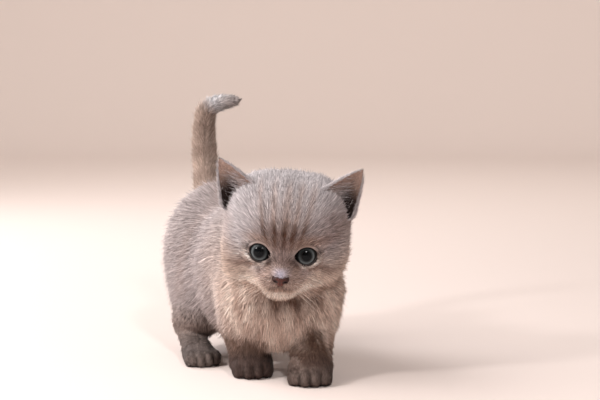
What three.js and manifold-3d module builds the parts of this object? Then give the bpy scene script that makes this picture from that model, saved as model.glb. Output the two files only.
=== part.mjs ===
// Short-legged kitten, walking, life size.
// Millimetres, +Z up. The kitten faces -Y and its own left side is at +X.
// Its outline is that of the coat's tips, so it is a little fuller than the skin.

import * as THREE from 'three';
import { mergeVertices } from 'three/addons/utils/BufferGeometryUtils.js';
import Module from 'manifold-3d';

const wasm = await Module();
wasm.setup();

// Driving dimensions

const GAP = 0.3;                        // clearance between neighbouring pieces
const SEAM_REACH = 9;                   // how far a piece follows the fillet at its joint
const RAY_LENGTH = 120;                 // longer than any ray inside the body
const RAY_STEP = 1.5;
const RAY_HALVINGS = 18;
const FAR = 200;                        // beyond the whole kitten
const ORIGIN_SHIFT = [2.7, -42.43, 0];  // puts the middle of the footprint's box at the origin

const SIGHT_LINE = 25;                  // degrees that the chest is turned from the head's heading
const HEAD_CENTRE = [-3.5, -13.8, 80.2];
const HEAD_YAW = 4.5;
const HEAD_PITCH = 21;                  // nose down
const HEAD_ROLL = 4.7;

const EYE_CENTRE = [11.2, 17.0, -1.6];  // in the head's own axes: left, forward, up
const EYE_RADIUS = 7.4;
const EYE_OPENING = 5.1;                // radius of the ring between the lids
const EYE_GAZE = [0.2, 1.0, 0.3];
const EYE_SHAFT = { depth: 16, flare: 4, start: 0.6 };  // the opening, from this share of the radius

const EAR_INNER = [16.0, 3.5, 29.0];    // where the inner edge meets the crown
const EAR_OUTER = [33.5, 3.0, 12.0];
const EAR_TIP = [38.0, -5.0, 39.2];
const EAR_THICKNESS = 2.6;
const EAR_CUP = 4.5;                    // depth of the hollow front
const EAR_ROOT = 7.0;                   // length sunk in the head
const EAR_POINT = 0.78;                 // below 1 the sides bow outwards
const EAR_BASE = [27, -8, 14];          // the swelling behind the ear's root
const EAR_BASE_RADII = [8.5, 8, 9];

const NOSE_CENTRE = [0, 29.8, -10.4];
const NOSE_RADII = [4.9, 3.2, 3.4];

const HEAD_REACH = 38;                  // the neck is a collar between these two distances
const NECK_REACH = 50;                  // from the head's centre
const HOCK_CUT = 25;                    // height of the cut between thigh and hock
const TRUNK_CUTS = { chest: [-60, 22], belly: [22, 62], rump: [62, 160] };

const SOLE = [0, -1, 5.5];
const SOLE_RADII = [10.8, 10.5, 6.6];
const TOES = [[-7.6, 5.0], [-2.7, 8.2], [2.7, 8.2], [7.6, 5.0]];
const TOE_HEIGHT = 4.4;
const TOE_RADII = [3.6, 5.2, 5.2];
const TOE_PAD = [0, 4.5, 3.6];          // fills the gaps between the toes at the floor
const TOE_PAD_RADII = [9.8, 7.6, 3.7];
const PAW_ROOM = [17, 21, 15.5];        // radii of the room that a paw is cut from

// Centre line and radii of the tail, from the rump to the tip
const TAIL_LINE = [[1, 96, 80], [1.5, 113, 92], [2, 120, 106], [1.5, 122, 121],
  [0.8, 120, 134], [1.2, 116.5, 143.5], [6.5, 111.5, 148.5], [15, 104, 150.5]];
const TAIL_RADII = [9.4, 8.4, 7.5, 7.0, 6.3, 5.6, 4.6, 3.0];
const TAIL_CUTS = [0, 0.36, 0.68, 1];
const TAIL_BLUNT = 0.8;                 // how far the last quarter of the tip is rounded off

// How finely each piece is sampled: corners round it and rings along it
const DETAIL = {
  head: [28, 20], neck: [18, 12], trunk: [24, 18], paw: [17, 12], foreleg: [14, 10], thigh: [14, 9],
  hock: [12, 9], limbRoom: [12, 7], ballRoom: [14, 9], eye: [12, 8], nose: [10, 7], ear: [14, 8],
};

// Coat colours

const COAT = { body: 0xa89a97, head: 0xaa9d9a, leg: 0x7d6f6a, paw: 0x5c5250, tail: 0x75665f };
const EAR_COLOUR = 0x8b7a75;
const EYE_COLOUR = 0x4a5961;
const NOSE_COLOUR = 0x6b4a4a;
const EYE_ROUGHNESS = 0.1;
const COAT_ROUGHNESS = 0.9;

// Distances to the masses, as plain numbers for speed

const ellipsoid = (centre, radii) => (x, y, z) => {
  const u = (x - centre[0]) / radii[0];
  const v = (y - centre[1]) / radii[1];
  const w = (z - centre[2]) / radii[2];
  const near = Math.hypot(u, v, w);
  const slope = Math.hypot(u / radii[0], v / radii[1], w / radii[2]);
  return near * (near - 1) / Math.max(slope, 1e-9);
};

const taper = (from, to, startRadius, endRadius) => (x, y, z) => {
  const along = to.map((value, i) => value - from[i]);
  const offset = [x - from[0], y - from[1], z - from[2]];
  const dot = offset[0] * along[0] + offset[1] * along[1] + offset[2] * along[2];
  const square = along[0] ** 2 + along[1] ** 2 + along[2] ** 2;
  const h = Math.min(Math.max(dot / square, 0), 1);
  const gap = Math.hypot(offset[0] - h * along[0], offset[1] - h * along[1], offset[2] - h * along[2]);
  return gap - (startRadius + (endRadius - startRadius) * h);
};

const mirrored = (field) => (x, y, z) => field(Math.abs(x), y, z);

// Joins two distances with a fillet about as wide as k
const soften = (a, b, k) => {
  const h = Math.max(k - Math.abs(a - b), 0) / k;
  return Math.min(a, b) - h * h * k / 4;
};

const joined = (first, ...others) => (x, y, z) =>
  others.reduce((near, [field, k]) => soften(near, field(x, y, z), k), first(x, y, z));

// Local axes

const radians = THREE.MathUtils.degToRad;

const headMatrix = new THREE.Matrix4()
  .makeTranslation(...HEAD_CENTRE)
  .multiply(new THREE.Matrix4().makeRotationZ(radians(-SIGHT_LINE)))
  .multiply(new THREE.Matrix4().makeScale(1, -1, 1))
  .multiply(new THREE.Matrix4().makeRotationZ(radians(HEAD_YAW)))
  .multiply(new THREE.Matrix4().makeRotationX(radians(-HEAD_PITCH)))
  .multiply(new THREE.Matrix4().makeRotationY(radians(HEAD_ROLL)));

// Runs a field given in local axes on points of the whole model
const placed = (field, matrix) => {
  const m = matrix.clone().invert().elements;
  return (x, y, z) => field(
    m[0] * x + m[4] * y + m[8] * z + m[12],
    m[1] * x + m[5] * y + m[9] * z + m[13],
    m[2] * x + m[6] * y + m[10] * z + m[14]);
};

const pawMatrix = ([x, y], yaw) => new THREE.Matrix4()
  .makeTranslation(x, y, 0)
  .multiply(new THREE.Matrix4().makeRotationZ(radians(-yaw)))
  .multiply(new THREE.Matrix4().makeScale(1, -1, 1));

// The masses of the body

const muzzle = joined(ellipsoid([0, 19, -12], [12.5, 11, 9]),
  [mirrored(ellipsoid([5.2, 25, -15.2], [6.4, 5.8, 5])), 2.5],
  [taper([0, 17, 3], [0, 28.6, -8.6], 6.2, 4.3), 4],
  [ellipsoid([0, 22.6, -20.8], [6.8, 6, 4.4]), 3]);

const eyeMound = mirrored(ellipsoid(EYE_CENTRE, Array(3).fill(EYE_RADIUS + 0.9)));

const headShape = joined(ellipsoid([0, -3, 4.5], [33, 29.5, 28.5]),
  [mirrored(ellipsoid([15, -4, 13], [14, 20, 17])), 8],
  [mirrored(ellipsoid(EAR_BASE, EAR_BASE_RADII)), 5],
  [mirrored(ellipsoid([16.5, 4, -9], [16.5, 16, 15.5])), 9],
  [ellipsoid([0, 8, 5], [22, 16, 18]), 8],
  [ellipsoid([0, 13, -16], [17, 13, 10]), 7],
  [muzzle, 5],
  [eyeMound, 3]);

const head = placed(headShape, headMatrix);

const neck = joined(taper([-1, 12, 66], [-2, -4, 72], 27, 26),
  [ellipsoid([0, -6, 52], [31, 20, 22]), 8]);

const trunk = joined(ellipsoid([0, 4, 47], [30, 26, 33]),
  [ellipsoid([0, 42, 53], [32, 42, 42]), 12],
  [ellipsoid([-1, 83, 60], [35, 35, 41]), 12],
  [ellipsoid([-1, 24, 66], [24, 26, 30]), 14]);

const forelegLeft = joined(ellipsoid([20, 0, 44], [12.5, 16, 22]),
  [taper([16.5, -5, 28], [9.5, -18, 11], 12.5, 10.6), 6]);

const forelegRight = joined(ellipsoid([-20, 8, 43], [12, 16, 22]),
  [taper([-18, 12, 28], [-15, 12, 11], 12.5, 10.6), 6]);

const thighLeft = ellipsoid([19, 82, 42], [15, 25, 27]);
const thighRight = ellipsoid([-20, 74, 39], [15, 25, 27]);

const hockLeft = joined(taper([22.5, 86, 28], [22.5, 108, 20], 11.5, 8.2),
  [taper([22.5, 108, 18], [22, 91, 7], 7.8, 7.6), 5]);

const hockRight = joined(taper([-24.5, 64, 27], [-26, 77, 20], 11.5, 8.2),
  [taper([-26, 77, 18], [-29, 57, 7], 7.8, 7.6), 5]);

const pawShape = (size) => {
  const sized = (centre, radii) => ellipsoid(centre.map((c) => c * size), radii.map((r) => r * size));
  const toes = TOES.map(([x, y]) => [sized([x, y, TOE_HEIGHT], TOE_RADII), 1.6]);
  return joined(sized(SOLE, SOLE_RADII), [sized(TOE_PAD, TOE_PAD_RADII), 1.6], ...toes);
};

const PAWS = {
  forepaw_left: { at: [6.3, -22.7], yaw: 25, size: 1.07 },
  forepaw_right: { at: [-14.5, 7.8], yaw: 20, size: 1.0 },
  hindpaw_left: { at: [22, 82], yaw: 0, size: 0.92 },
  hindpaw_right: { at: [-29.8, 48], yaw: 8, size: 0.92 },
};

const pawFields = Object.fromEntries(Object.entries(PAWS).map(([name, paw]) =>
  [name, placed(pawShape(paw.size), pawMatrix(paw.at, paw.yaw))]));

const body = joined(trunk, [neck, 14], [forelegLeft, 9], [forelegRight, 9],
  [joined(thighLeft, [hockLeft, 7]), 9], [joined(thighRight, [hockRight, 7]), 9],
  ...Object.values(pawFields).map((paw) => [paw, 5.5]), [head, 7]);

// Solids

// Merges a geometry's shared vertices and turns it into a closed solid
const solidOf = (geometry) => {
  const plain = geometry.index ? geometry.clone() : mergeVertices(geometry);
  plain.deleteAttribute('normal');
  plain.deleteAttribute('uv');
  const merged = mergeVertices(plain, 1e-4);
  const corners = merged.index.array;
  const triangles = [];
  for (let i = 0; i < corners.length; i += 3) {
    const [a, b, c] = [corners[i], corners[i + 1], corners[i + 2]];
    if (a !== b && b !== c && c !== a) triangles.push(a, b, c);
  }
  return new wasm.Manifold(new wasm.Mesh({
    numProp: 3,
    vertProperties: new Float32Array(merged.attributes.position.array),
    triVerts: new Uint32Array(triangles),
  }));
};

const geometryOf = (solid) => {
  const mesh = solid.getMesh();
  const geometry = new THREE.BufferGeometry();
  geometry.setAttribute('position', new THREE.BufferAttribute(mesh.vertProperties, 3));
  geometry.setIndex(new THREE.BufferAttribute(mesh.triVerts, 1));
  geometry.computeVertexNormals();
  return geometry;
};

// The largest of a solid's separate parts
const largest = (solid) => solid.decompose().reduce((best, part) =>
  (part.volume() > best.volume() ? part : best));

// Distance along a ray to where the field turns positive
const rayExit = (field, start, direction) => {
  let inside = 0;
  let outside = RAY_LENGTH;
  for (let t = RAY_STEP; t < RAY_LENGTH; t += RAY_STEP) {
    const p = start.clone().addScaledVector(direction, t);
    if (field(p.x, p.y, p.z) > 0) {
      outside = t;
      break;
    }
    inside = t;
  }
  for (let i = 0; i < RAY_HALVINGS; i += 1) {
    const t = (inside + outside) / 2;
    const p = start.clone().addScaledVector(direction, t);
    if (field(p.x, p.y, p.z) > 0) outside = t;
    else inside = t;
  }
  return inside;
};

// A unit sphere whose vertices are pushed out from a core line to the field's skin.
// The sphere's poles lie on the line.
const skinned = (field, from, to, around, rings) => {
  const geometry = new THREE.SphereGeometry(1, around, rings);
  const start = new THREE.Vector3(...from);
  const end = new THREE.Vector3(...to);
  const axis = end.clone().sub(start).normalize();
  const turn = new THREE.Quaternion().setFromUnitVectors(new THREE.Vector3(0, 1, 0), axis);
  const points = geometry.attributes.position;
  for (let i = 0; i < points.count; i += 1) {
    const unit = new THREE.Vector3().fromBufferAttribute(points, i);
    const core = start.clone().lerp(end, (unit.y + 1) / 2);
    const ray = unit.applyQuaternion(turn);
    core.addScaledVector(ray, rayExit(field, core, ray));
    points.setXYZ(i, core.x, core.y, core.z);
  }
  return solidOf(geometry);
};

// The whole outline near some of its masses
const flesh = (own, ...sampling) =>
  skinned((x, y, z) => Math.max(body(x, y, z), own(x, y, z) - SEAM_REACH), ...sampling);

const block = (low, high) => {
  const size = high.map((value, i) => value - low[i]);
  const geometry = new THREE.BoxGeometry(...size);
  geometry.translate(...low.map((value, i) => value + size[i] / 2));
  return solidOf(geometry);
};

const slab = (lowY, highY) => block([-FAR, lowY, 0], [FAR, highY, FAR]);

const layer = (lowZ, highZ) => block([-FAR, -FAR, lowZ], [FAR, FAR, highZ]);

// Places a local head point in the model
const onHead = (point, side = 1) =>
  new THREE.Vector3(point[0] * side, point[1], point[2]).applyMatrix4(headMatrix);

const eyeBall = (side, radius) => {
  const geometry = new THREE.SphereGeometry(radius, ...DETAIL.eye);
  const centre = onHead(EYE_CENTRE, side);
  geometry.translate(centre.x, centre.y, centre.z);
  return solidOf(geometry);
};

// The opening in front of an eye, widening outwards
const eyeWindow = (side) => {
  const { depth, flare, start } = EYE_SHAFT;
  const geometry = new THREE.CylinderGeometry(EYE_OPENING + flare, EYE_OPENING, depth, DETAIL.eye[0]);
  const centre = onHead(EYE_CENTRE, side);
  const ahead = onHead(EYE_CENTRE.map((value, i) => value + EYE_GAZE[i]), side);
  const gaze = ahead.sub(centre).normalize();
  geometry.applyQuaternion(new THREE.Quaternion().setFromUnitVectors(new THREE.Vector3(0, 1, 0), gaze));
  const middle = centre.addScaledVector(gaze, EYE_RADIUS * start + depth / 2);
  geometry.translate(middle.x, middle.y, middle.z);
  return solidOf(geometry);
};

const noseLeather = (extra) => {
  const geometry = new THREE.SphereGeometry(1, ...DETAIL.nose);
  geometry.scale(...NOSE_RADII.map((r) => r + extra));
  geometry.translate(...NOSE_CENTRE);
  geometry.applyMatrix4(headMatrix);
  geometry.index.array.reverse();
  return solidOf(geometry);
};

// A thin cupped triangle: a sphere whose pole is the tip, flattened and bent back in the middle
const earShell = (side) => {
  const geometry = new THREE.SphereGeometry(1, ...DETAIL.ear);
  const inner = new THREE.Vector3(...EAR_INNER);
  const outer = new THREE.Vector3(...EAR_OUTER);
  const base = inner.clone().lerp(outer, 0.5);
  const rise = new THREE.Vector3(...EAR_TIP).sub(base);
  const height = rise.length();
  rise.normalize();
  const across = outer.clone().sub(inner);
  across.addScaledVector(rise, -across.dot(rise));
  const width = across.length();
  across.normalize();
  const front = across.clone().cross(rise);
  if (front.y < 0) front.negate();
  const points = geometry.attributes.position;
  for (let i = 0; i < points.count; i += 1) {
    const unit = new THREE.Vector3().fromBufferAttribute(points, i);
    const ring = Math.hypot(unit.x, unit.z);
    const sideways = ring < 1e-6 ? 0 : unit.x / ring;
    const outwards = ring < 1e-6 ? 0 : unit.z / ring;
    const level = ((unit.y + 1) / 2) * (height + EAR_ROOT) - EAR_ROOT;
    const left = THREE.MathUtils.clamp(1 - level / height, 0.02, 1);
    const half = (width / 2) * left ** EAR_POINT * (ring < 1e-6 ? 0 : 1);
    const cup = EAR_CUP * (1 - sideways ** 2) * left;
    const place = base.clone()
      .addScaledVector(rise, level)
      .addScaledVector(across, half * sideways)
      .addScaledVector(front, outwards * EAR_THICKNESS / 2 * Math.min(1, ring * 2) - cup);
    const spot = onHead(place.toArray(), side);
    points.setXYZ(i, spot.x, spot.y, spot.z);
  }
  const flipped = side * front.clone().cross(across).dot(rise) > 0;
  if (flipped) geometry.index.array.reverse();
  return solidOf(geometry);
};

// A length of the tail: a closed cylinder bent along the centre line
const tailCurve = new THREE.CatmullRomCurve3(
  TAIL_LINE.map((point) => new THREE.Vector3(...point)), false, 'catmullrom', 0.5);

const tailRadius = (t) => {
  const place = THREE.MathUtils.clamp(t, 0, 1) * (TAIL_RADII.length - 1);
  const low = Math.min(Math.floor(place), TAIL_RADII.length - 2);
  return THREE.MathUtils.lerp(TAIL_RADII[low], TAIL_RADII[low + 1], place - low);
};

const tailLength = (from, to, roundEnd) => {
  const geometry = new THREE.CylinderGeometry(1, 1, 1, 10, 5);
  const points = geometry.attributes.position;
  const trim = GAP / 2 / tailCurve.getLength();
  for (let i = 0; i < points.count; i += 1) {
    const level = points.getY(i) + 0.5;
    const t = THREE.MathUtils.lerp(from + trim, to - trim, level);
    const tangent = tailCurve.getTangent(t);
    const sideways = new THREE.Vector3(1, 0, 0).addScaledVector(tangent, -tangent.x).normalize();
    const back = tangent.clone().cross(sideways);
    const rounding = roundEnd ? Math.sqrt(1 - Math.max(level * 4 - 3, 0) ** 2 * TAIL_BLUNT) : 1;
    const radius = tailRadius(t) * rounding;
    const spot = tailCurve.getPoint(t)
      .addScaledVector(sideways, points.getX(i) * radius)
      .addScaledVector(back, -points.getZ(i) * radius);
    points.setXYZ(i, spot.x, spot.y, spot.z);
  }
  return solidOf(geometry);
};

// The pieces, cut clear of one another

const cutClear = (solid, ...rooms) => largest(rooms.reduce((left, room) => left.subtract(room), solid));

const headPoint = (...point) => onHead(point).toArray();

// The lines that the rays start from
const HEAD_CORE = [headPoint(0, -8, 2), headPoint(0, 8, -4)];
const TRUNK_CORE = [[0, 96, 58], [0, 6, 48]];

const pieces = {};

// A region is the room that one piece is cut from, and with the gap, what its neighbours lose
const region = (shape, ...sampling) => ({
  inner: skinned(shape(0), ...sampling),
  room: skinned(shape(GAP), ...sampling),
});

const limbRegion = (from, to, startRadius, endRadius) => region((extra) =>
  taper(from, to, startRadius + extra, endRadius + extra), from, to, ...DETAIL.limbRoom);

const ballRegion = (radius) => region((extra) =>
  ellipsoid(HEAD_CENTRE, Array(3).fill(radius + extra)),
  HEAD_CENTRE, headPoint(0, 1, 0), ...DETAIL.ballRoom);

const pawRegion = (paw) => {
  const matrix = pawMatrix(paw.at, paw.yaw);
  const radii = PAW_ROOM.map((r) => r * paw.size);
  const from = new THREE.Vector3(0, -4, 1).applyMatrix4(matrix).toArray();
  const to = new THREE.Vector3(0, 4, 1).applyMatrix4(matrix).toArray();
  return region((extra) => placed(ellipsoid([0, 0, 0], radii.map((r) => r + extra)), matrix),
    from, to, ...DETAIL.limbRoom);
};

const FORELEGS = {
  foreleg_left: {
    flesh: flesh(forelegLeft, [20, 0, 50], [10.5, -16, 13], ...DETAIL.foreleg),
    region: limbRegion([27, -2, 60], [9, -20, 8], 17, 17),
  },
  foreleg_right: {
    flesh: flesh(forelegRight, [-20, 8, 50], [-15, 12, 13], ...DETAIL.foreleg),
    region: limbRegion([-27, 8, 58], [-15, 11, 8], 16, 16),
  },
};

const HIND_LEGS = {
  left: {
    thigh: flesh(thighLeft, [20, 80, 50], [21, 84, 32], ...DETAIL.thigh),
    hock: flesh(hockLeft, [22.5, 92, 24], [22.5, 104, 16], ...DETAIL.hock),
    region: limbRegion([28, 80, 52], [22, 98, 10], 22, 20),
  },
  right: {
    thigh: flesh(thighRight, [-20, 72, 48], [-21, 74, 30], ...DETAIL.thigh),
    hock: flesh(hockRight, [-25, 66, 23], [-26.5, 74, 15], ...DETAIL.hock),
    region: limbRegion([-30, 72, 50], [-27, 66, 10], 22, 20),
  },
};

const taken = [];
const take = (name, solid, colour) => {
  pieces[name] = { solid: cutClear(solid, ...taken), colour };
};

const headFlesh = flesh(head, ...HEAD_CORE, ...DETAIL.head);
const headRegion = ballRegion(HEAD_REACH);
const SIDES = { left: 1, right: -1 };
const sockets = Object.values(SIDES).flatMap((side) => [eyeBall(side, EYE_RADIUS + GAP), eyeWindow(side)]);
const faceRooms = [...sockets, noseLeather(GAP)];
take('head', faceRooms.reduce((left, room) => left.subtract(room), headFlesh.intersect(headRegion.inner)),
  COAT.head);
taken.push(headRegion.room);

for (const [name, paw] of Object.entries(PAWS)) {
  const matrix = pawMatrix(paw.at, paw.yaw);
  const from = new THREE.Vector3(0, -2, 6 * paw.size).applyMatrix4(matrix).toArray();
  const to = new THREE.Vector3(0, 4, 5 * paw.size).applyMatrix4(matrix).toArray();
  const { inner, room } = pawRegion(paw);
  const whole = flesh(pawFields[name], from, to, ...DETAIL.paw);
  take(name, whole.intersect(inner).intersect(layer(0, FAR)), COAT.paw);
  taken.push(room);
}

for (const [name, leg] of Object.entries(FORELEGS)) {
  take(name, leg.flesh.intersect(leg.region.inner).intersect(layer(0, FAR)), COAT.leg);
  taken.push(leg.region.room);
}

for (const [label, leg] of Object.entries(HIND_LEGS)) {
  const { inner, room } = leg.region;
  take(`thigh_${label}`, leg.thigh.intersect(inner).intersect(layer(HOCK_CUT + GAP, FAR)), COAT.leg);
  take(`hock_${label}`, leg.hock.intersect(inner).intersect(layer(0, HOCK_CUT)), COAT.leg);
  taken.push(room);
}

const neckFlesh = flesh(neck, [-1, 14, 62], [-1, -6, 58], ...DETAIL.neck);
const neckRegion = ballRegion(NECK_REACH);
take('neck', neckFlesh.intersect(neckRegion.inner), COAT.body);
taken.push(neckRegion.room);

const trunkFlesh = flesh(trunk, ...TRUNK_CORE, ...DETAIL.trunk);
for (const [name, [low, high]] of Object.entries(TRUNK_CUTS)) {
  take(name, trunkFlesh.intersect(slab(low + GAP / 2, high - GAP / 2)), COAT.body);
}

const hull = (own, ...sampling) => skinned((x, y, z) => own(x, y, z) - GAP, ...sampling);
const headHull = hull(body, ...HEAD_CORE, ...DETAIL.head);
const rumpHull = hull(trunk, ...TRUNK_CORE, ...DETAIL.trunk);

const TAIL_NAMES = ['tail_base', 'tail_middle', 'tail_tip'];
TAIL_NAMES.forEach((name, i) => {
  const length = tailLength(TAIL_CUTS[i], TAIL_CUTS[i + 1], i === TAIL_NAMES.length - 1);
  pieces[name] = { solid: i === 0 ? cutClear(length, rumpHull) : length, colour: COAT.tail };
});

pieces.nose = { solid: noseLeather(0), colour: NOSE_COLOUR };
for (const [label, side] of Object.entries(SIDES)) {
  pieces[`eye_${label}`] = { solid: eyeBall(side, EYE_RADIUS), colour: EYE_COLOUR };
  pieces[`ear_${label}`] = { solid: cutClear(earShell(side), headHull), colour: EAR_COLOUR };
}

// The scene graph

const kitten = new THREE.Group();
kitten.position.set(...ORIGIN_SHIFT);
for (const [name, { solid, colour }] of Object.entries(pieces)) {
  const shiny = name.startsWith('eye');
  const material = new THREE.MeshStandardMaterial({
    color: colour,
    roughness: shiny ? EYE_ROUGHNESS : COAT_ROUGHNESS,
    metalness: 0,
  });
  const mesh = new THREE.Mesh(geometryOf(solid), material);
  mesh.name = name;
  kitten.add(mesh);
}

export default kitten;
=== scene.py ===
"""Short-legged kitten, walking, life size: its skin, coat, eyes, nose, ears and whiskers.

Shapes are worked out in millimetres in the kitten's own axes, where +X is its left side, it
walks towards -Y and the floor is z = 0. They go into the meshes in metres, moved so that they
meet the frame. The coat's tips reach the frame's outline, and the skin lies a coat's depth inside.
"""

from __future__ import annotations

import logging
import math
from dataclasses import dataclass, field
from enum import Enum
from itertools import product
from typing import Sequence

import bpy
import numpy as np
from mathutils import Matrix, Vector


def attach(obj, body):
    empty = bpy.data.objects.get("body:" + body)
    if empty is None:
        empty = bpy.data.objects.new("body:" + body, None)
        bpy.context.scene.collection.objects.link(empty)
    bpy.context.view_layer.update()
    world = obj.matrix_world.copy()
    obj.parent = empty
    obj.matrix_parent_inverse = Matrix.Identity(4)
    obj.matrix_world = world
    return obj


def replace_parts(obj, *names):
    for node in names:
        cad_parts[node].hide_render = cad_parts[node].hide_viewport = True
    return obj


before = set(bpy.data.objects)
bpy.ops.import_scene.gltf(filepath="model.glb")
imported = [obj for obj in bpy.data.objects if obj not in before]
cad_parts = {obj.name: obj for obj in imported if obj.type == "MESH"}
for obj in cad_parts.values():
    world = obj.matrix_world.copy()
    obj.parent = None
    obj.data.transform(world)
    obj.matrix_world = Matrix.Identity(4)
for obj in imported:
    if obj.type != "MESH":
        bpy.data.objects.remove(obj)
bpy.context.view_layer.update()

LOG = logging.getLogger("kitten")

Vec = tuple[float, float, float]
Array = np.ndarray
Material = bpy.types.Material

MM = 0.001  # one millimetre in metres
FRAME_SHIFT = (2.7, -42.43, 0.0)  # from the kitten's axes to the frame's, in millimetres
SEED = 20

SIGHT_LINE = 25.0  # degrees that the head's heading is turned from -Y
HEAD_CENTRE: Vec = (-3.5, -13.8, 80.2)
HEAD_YAW, HEAD_PITCH, HEAD_ROLL = 4.5, 21.0, 4.7

EYE_CENTRE: Vec = (11.2, 17.0, -1.6)
EYE_RADIUS = 7.4
EYE_GAZE: Vec = (0.2, 1.0, 0.3)

MOUTH = -15.7  # height of the mouth's middle in the head
LIP_SLOPE, LIP_CURVE = 0.42, 0.028  # how the lips' line falls from there and rises again
EAR_INNER: Vec = (16.0, 3.5, 29.0)
EAR_OUTER: Vec = (33.5, 3.0, 12.0)
EAR_TIP: Vec = (38.0, -5.0, 39.2)

DOWN: Vec = (0.0, 0.0, -1.0)
BACKWARDS: Vec = (0.0, 0.8, -0.62)  # the lie of the hair over the flanks


class Side(Enum):
    """The kitten's own left and right, as the sign of x."""

    LEFT = 1
    RIGHT = -1

    @property
    def label(self) -> str:
        """The word used in piece names."""
        return self.name.lower()

    @property
    def mirror(self) -> Array:
        """What a left-side point is multiplied by to lie on this side."""
        return np.array([self.value, 1, 1])


# Small maths


def ease(low: float, high: float, value: Array) -> Array:
    """Rises from 0 at low to 1 at high as 3t squared less 2t cubed."""
    t = np.clip((value - low) / (high - low), 0.0, 1.0)
    return t * t * (3.0 - 2.0 * t)


def bump(value: Array, middle: float, width: float) -> Array:
    """A bell: e to the minus square of the distance from middle over width."""
    return np.exp(-(((value - middle) / width) ** 2))


def unit(vectors: Array) -> Array:
    """Each row divided by its length."""
    return vectors / np.maximum(np.linalg.norm(vectors, axis=-1, keepdims=True), 1e-9)


def dot(a: Array, b: Array) -> Array:
    """Row by row inner product."""
    return np.einsum("...i,...i->...", a, b)


def circle(count: int) -> Array:
    """Angles round a full turn in equal steps."""
    return np.linspace(0, 2 * math.pi, count, endpoint=False)


def turn(axis: str, degrees: float) -> Array:
    """A turn about a named axis.

    Args:
        axis: x, y or z.
        degrees: how far, anticlockwise.

    Returns:
        Its 3 by 3 matrix.
    """
    c, s = math.cos(math.radians(degrees)), math.sin(math.radians(degrees))
    rows = {
        "x": [[1, 0, 0], [0, c, -s], [0, s, c]],
        "y": [[c, 0, s], [0, 1, 0], [-s, 0, c]],
        "z": [[c, -s, 0], [s, c, 0], [0, 0, 1]],
    }
    return np.array(rows[axis])


def ripples(points: Array, wavelength: float, seed: int, octaves: int = 1) -> Array:
    """Smooth noise from -1 to 1: a mean of eight sine waves in random directions.

    Args:
        points: positions in millimetres, one row each.
        wavelength: the waves' length in millimetres.
        seed: picks the directions and phases.
        octaves: how many halvings of the wavelength are added, each half as strong.

    Returns:
        One value for each row.
    """
    rng = np.random.default_rng(seed)
    total, weight = np.zeros(len(points)), 0.0
    for octave in range(octaves):
        length = wavelength / 2**octave
        heading = unit(rng.normal(size=(8, 3))) * (2 * math.pi / length)
        phase = rng.uniform(0, 2 * math.pi, 8)
        total += np.sin(points @ heading.T + phase).sum(1) / 4.0 / 2**octave
        weight += 1 / 2**octave
    return np.clip(total / weight, -1.0, 1.0)


@dataclass(frozen=True)
class Axes:
    """Local axes: an origin, and a matrix whose columns are left, forward and up."""

    origin: Vec
    matrix: Array

    def inward(self, points: Array) -> Array:
        """Points of the kitten as local points."""
        return (points - np.array(self.origin)) @ self.matrix

    def outward(self, points: Array) -> Array:
        """Local points as points of the kitten."""
        return np.asarray(points) @ self.matrix.T + np.array(self.origin)

    def heading(self, vectors: Array) -> Array:
        """Local directions as directions of the kitten."""
        return np.asarray(vectors) @ self.matrix.T


FACING = np.diag([1.0, -1.0, 1.0])
HEAD = Axes(
    HEAD_CENTRE,
    turn("z", -SIGHT_LINE) @ FACING @ turn("z", HEAD_YAW) @ turn("x", -HEAD_PITCH) @ turn("y", HEAD_ROLL),
)


def folded(points: Array) -> Array:
    """Local points with both sides laid on the left one."""
    return np.column_stack([np.abs(points[:, 0]), points[:, 1:]])


# Masses: distances to simple solids, negative inside


class Mass:
    """Something with a signed distance."""

    def distance(self, points: Array) -> Array:
        """The mass's signed distance.

        Args:
            points: places in millimetres, one row each.

        Returns:
            How far each is from the surface, negative inside.
        """
        raise NotImplementedError

    def grown(self, extra: float) -> Mass:
        """The same mass with its surface moved out by extra, or in where extra is negative."""
        return Grown(self, extra)


@dataclass(frozen=True)
class Grown(Mass):
    """A mass whose surface is moved along its normals."""

    inner: Mass
    extra: float

    def distance(self, points: Array) -> Array:
        """The inner distance less the growth."""
        return self.inner.distance(points) - self.extra


@dataclass(frozen=True)
class Ellipsoid(Mass):
    """A ball stretched along the axes."""

    centre: Vec
    radii: Vec

    def distance(self, points: Array) -> Array:
        """k (k - 1) / g, where k is the length of p over the radii and g that of p over their squares."""
        offset = points - np.array(self.centre, points.dtype)
        radii = np.array(self.radii, points.dtype)
        near = np.sqrt(((offset / radii) ** 2).sum(-1))
        slope = np.sqrt(((offset / radii**2) ** 2).sum(-1))
        return near * (near - 1.0) / np.maximum(slope, 1e-6)


@dataclass(frozen=True)
class Taper(Mass):
    """A straight limb whose radius changes from one end to the other."""

    start: Vec
    end: Vec
    start_radius: float
    end_radius: float

    def distance(self, points: Array) -> Array:
        """Distance to the nearest point of the core line, less the radius there."""
        start = np.array(self.start, points.dtype)
        along = np.array(self.end, points.dtype) - start
        offset = points - start
        part = np.clip(offset @ along / (along @ along), 0.0, 1.0)
        gap = np.sqrt(((offset - part[:, None] * along) ** 2).sum(-1))
        return gap - (self.start_radius + (self.end_radius - self.start_radius) * part)


def soften(a: Array, b: Array, width: float) -> Array:
    """The lesser distance with a fillet: less h squared times width / 4, where h = 1 - |a - b| / width."""
    h = np.maximum(width - np.abs(a - b), 0.0) / width
    return np.minimum(a, b) - h * h * width / 4.0


@dataclass(frozen=True)
class Joined(Mass):
    """Masses run together, each with the width of its fillet to those before it."""

    first: Mass
    others: tuple[tuple[Mass, float], ...]

    def distance(self, points: Array) -> Array:
        """The softened least distance."""
        near = self.first.distance(points)
        for mass, width in self.others:
            near = soften(near, mass.distance(points), width)
        return near


def joined(first: Mass, *others: tuple[Mass, float]) -> Joined:
    """A short way to write Joined."""
    return Joined(first, tuple(others))


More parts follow.
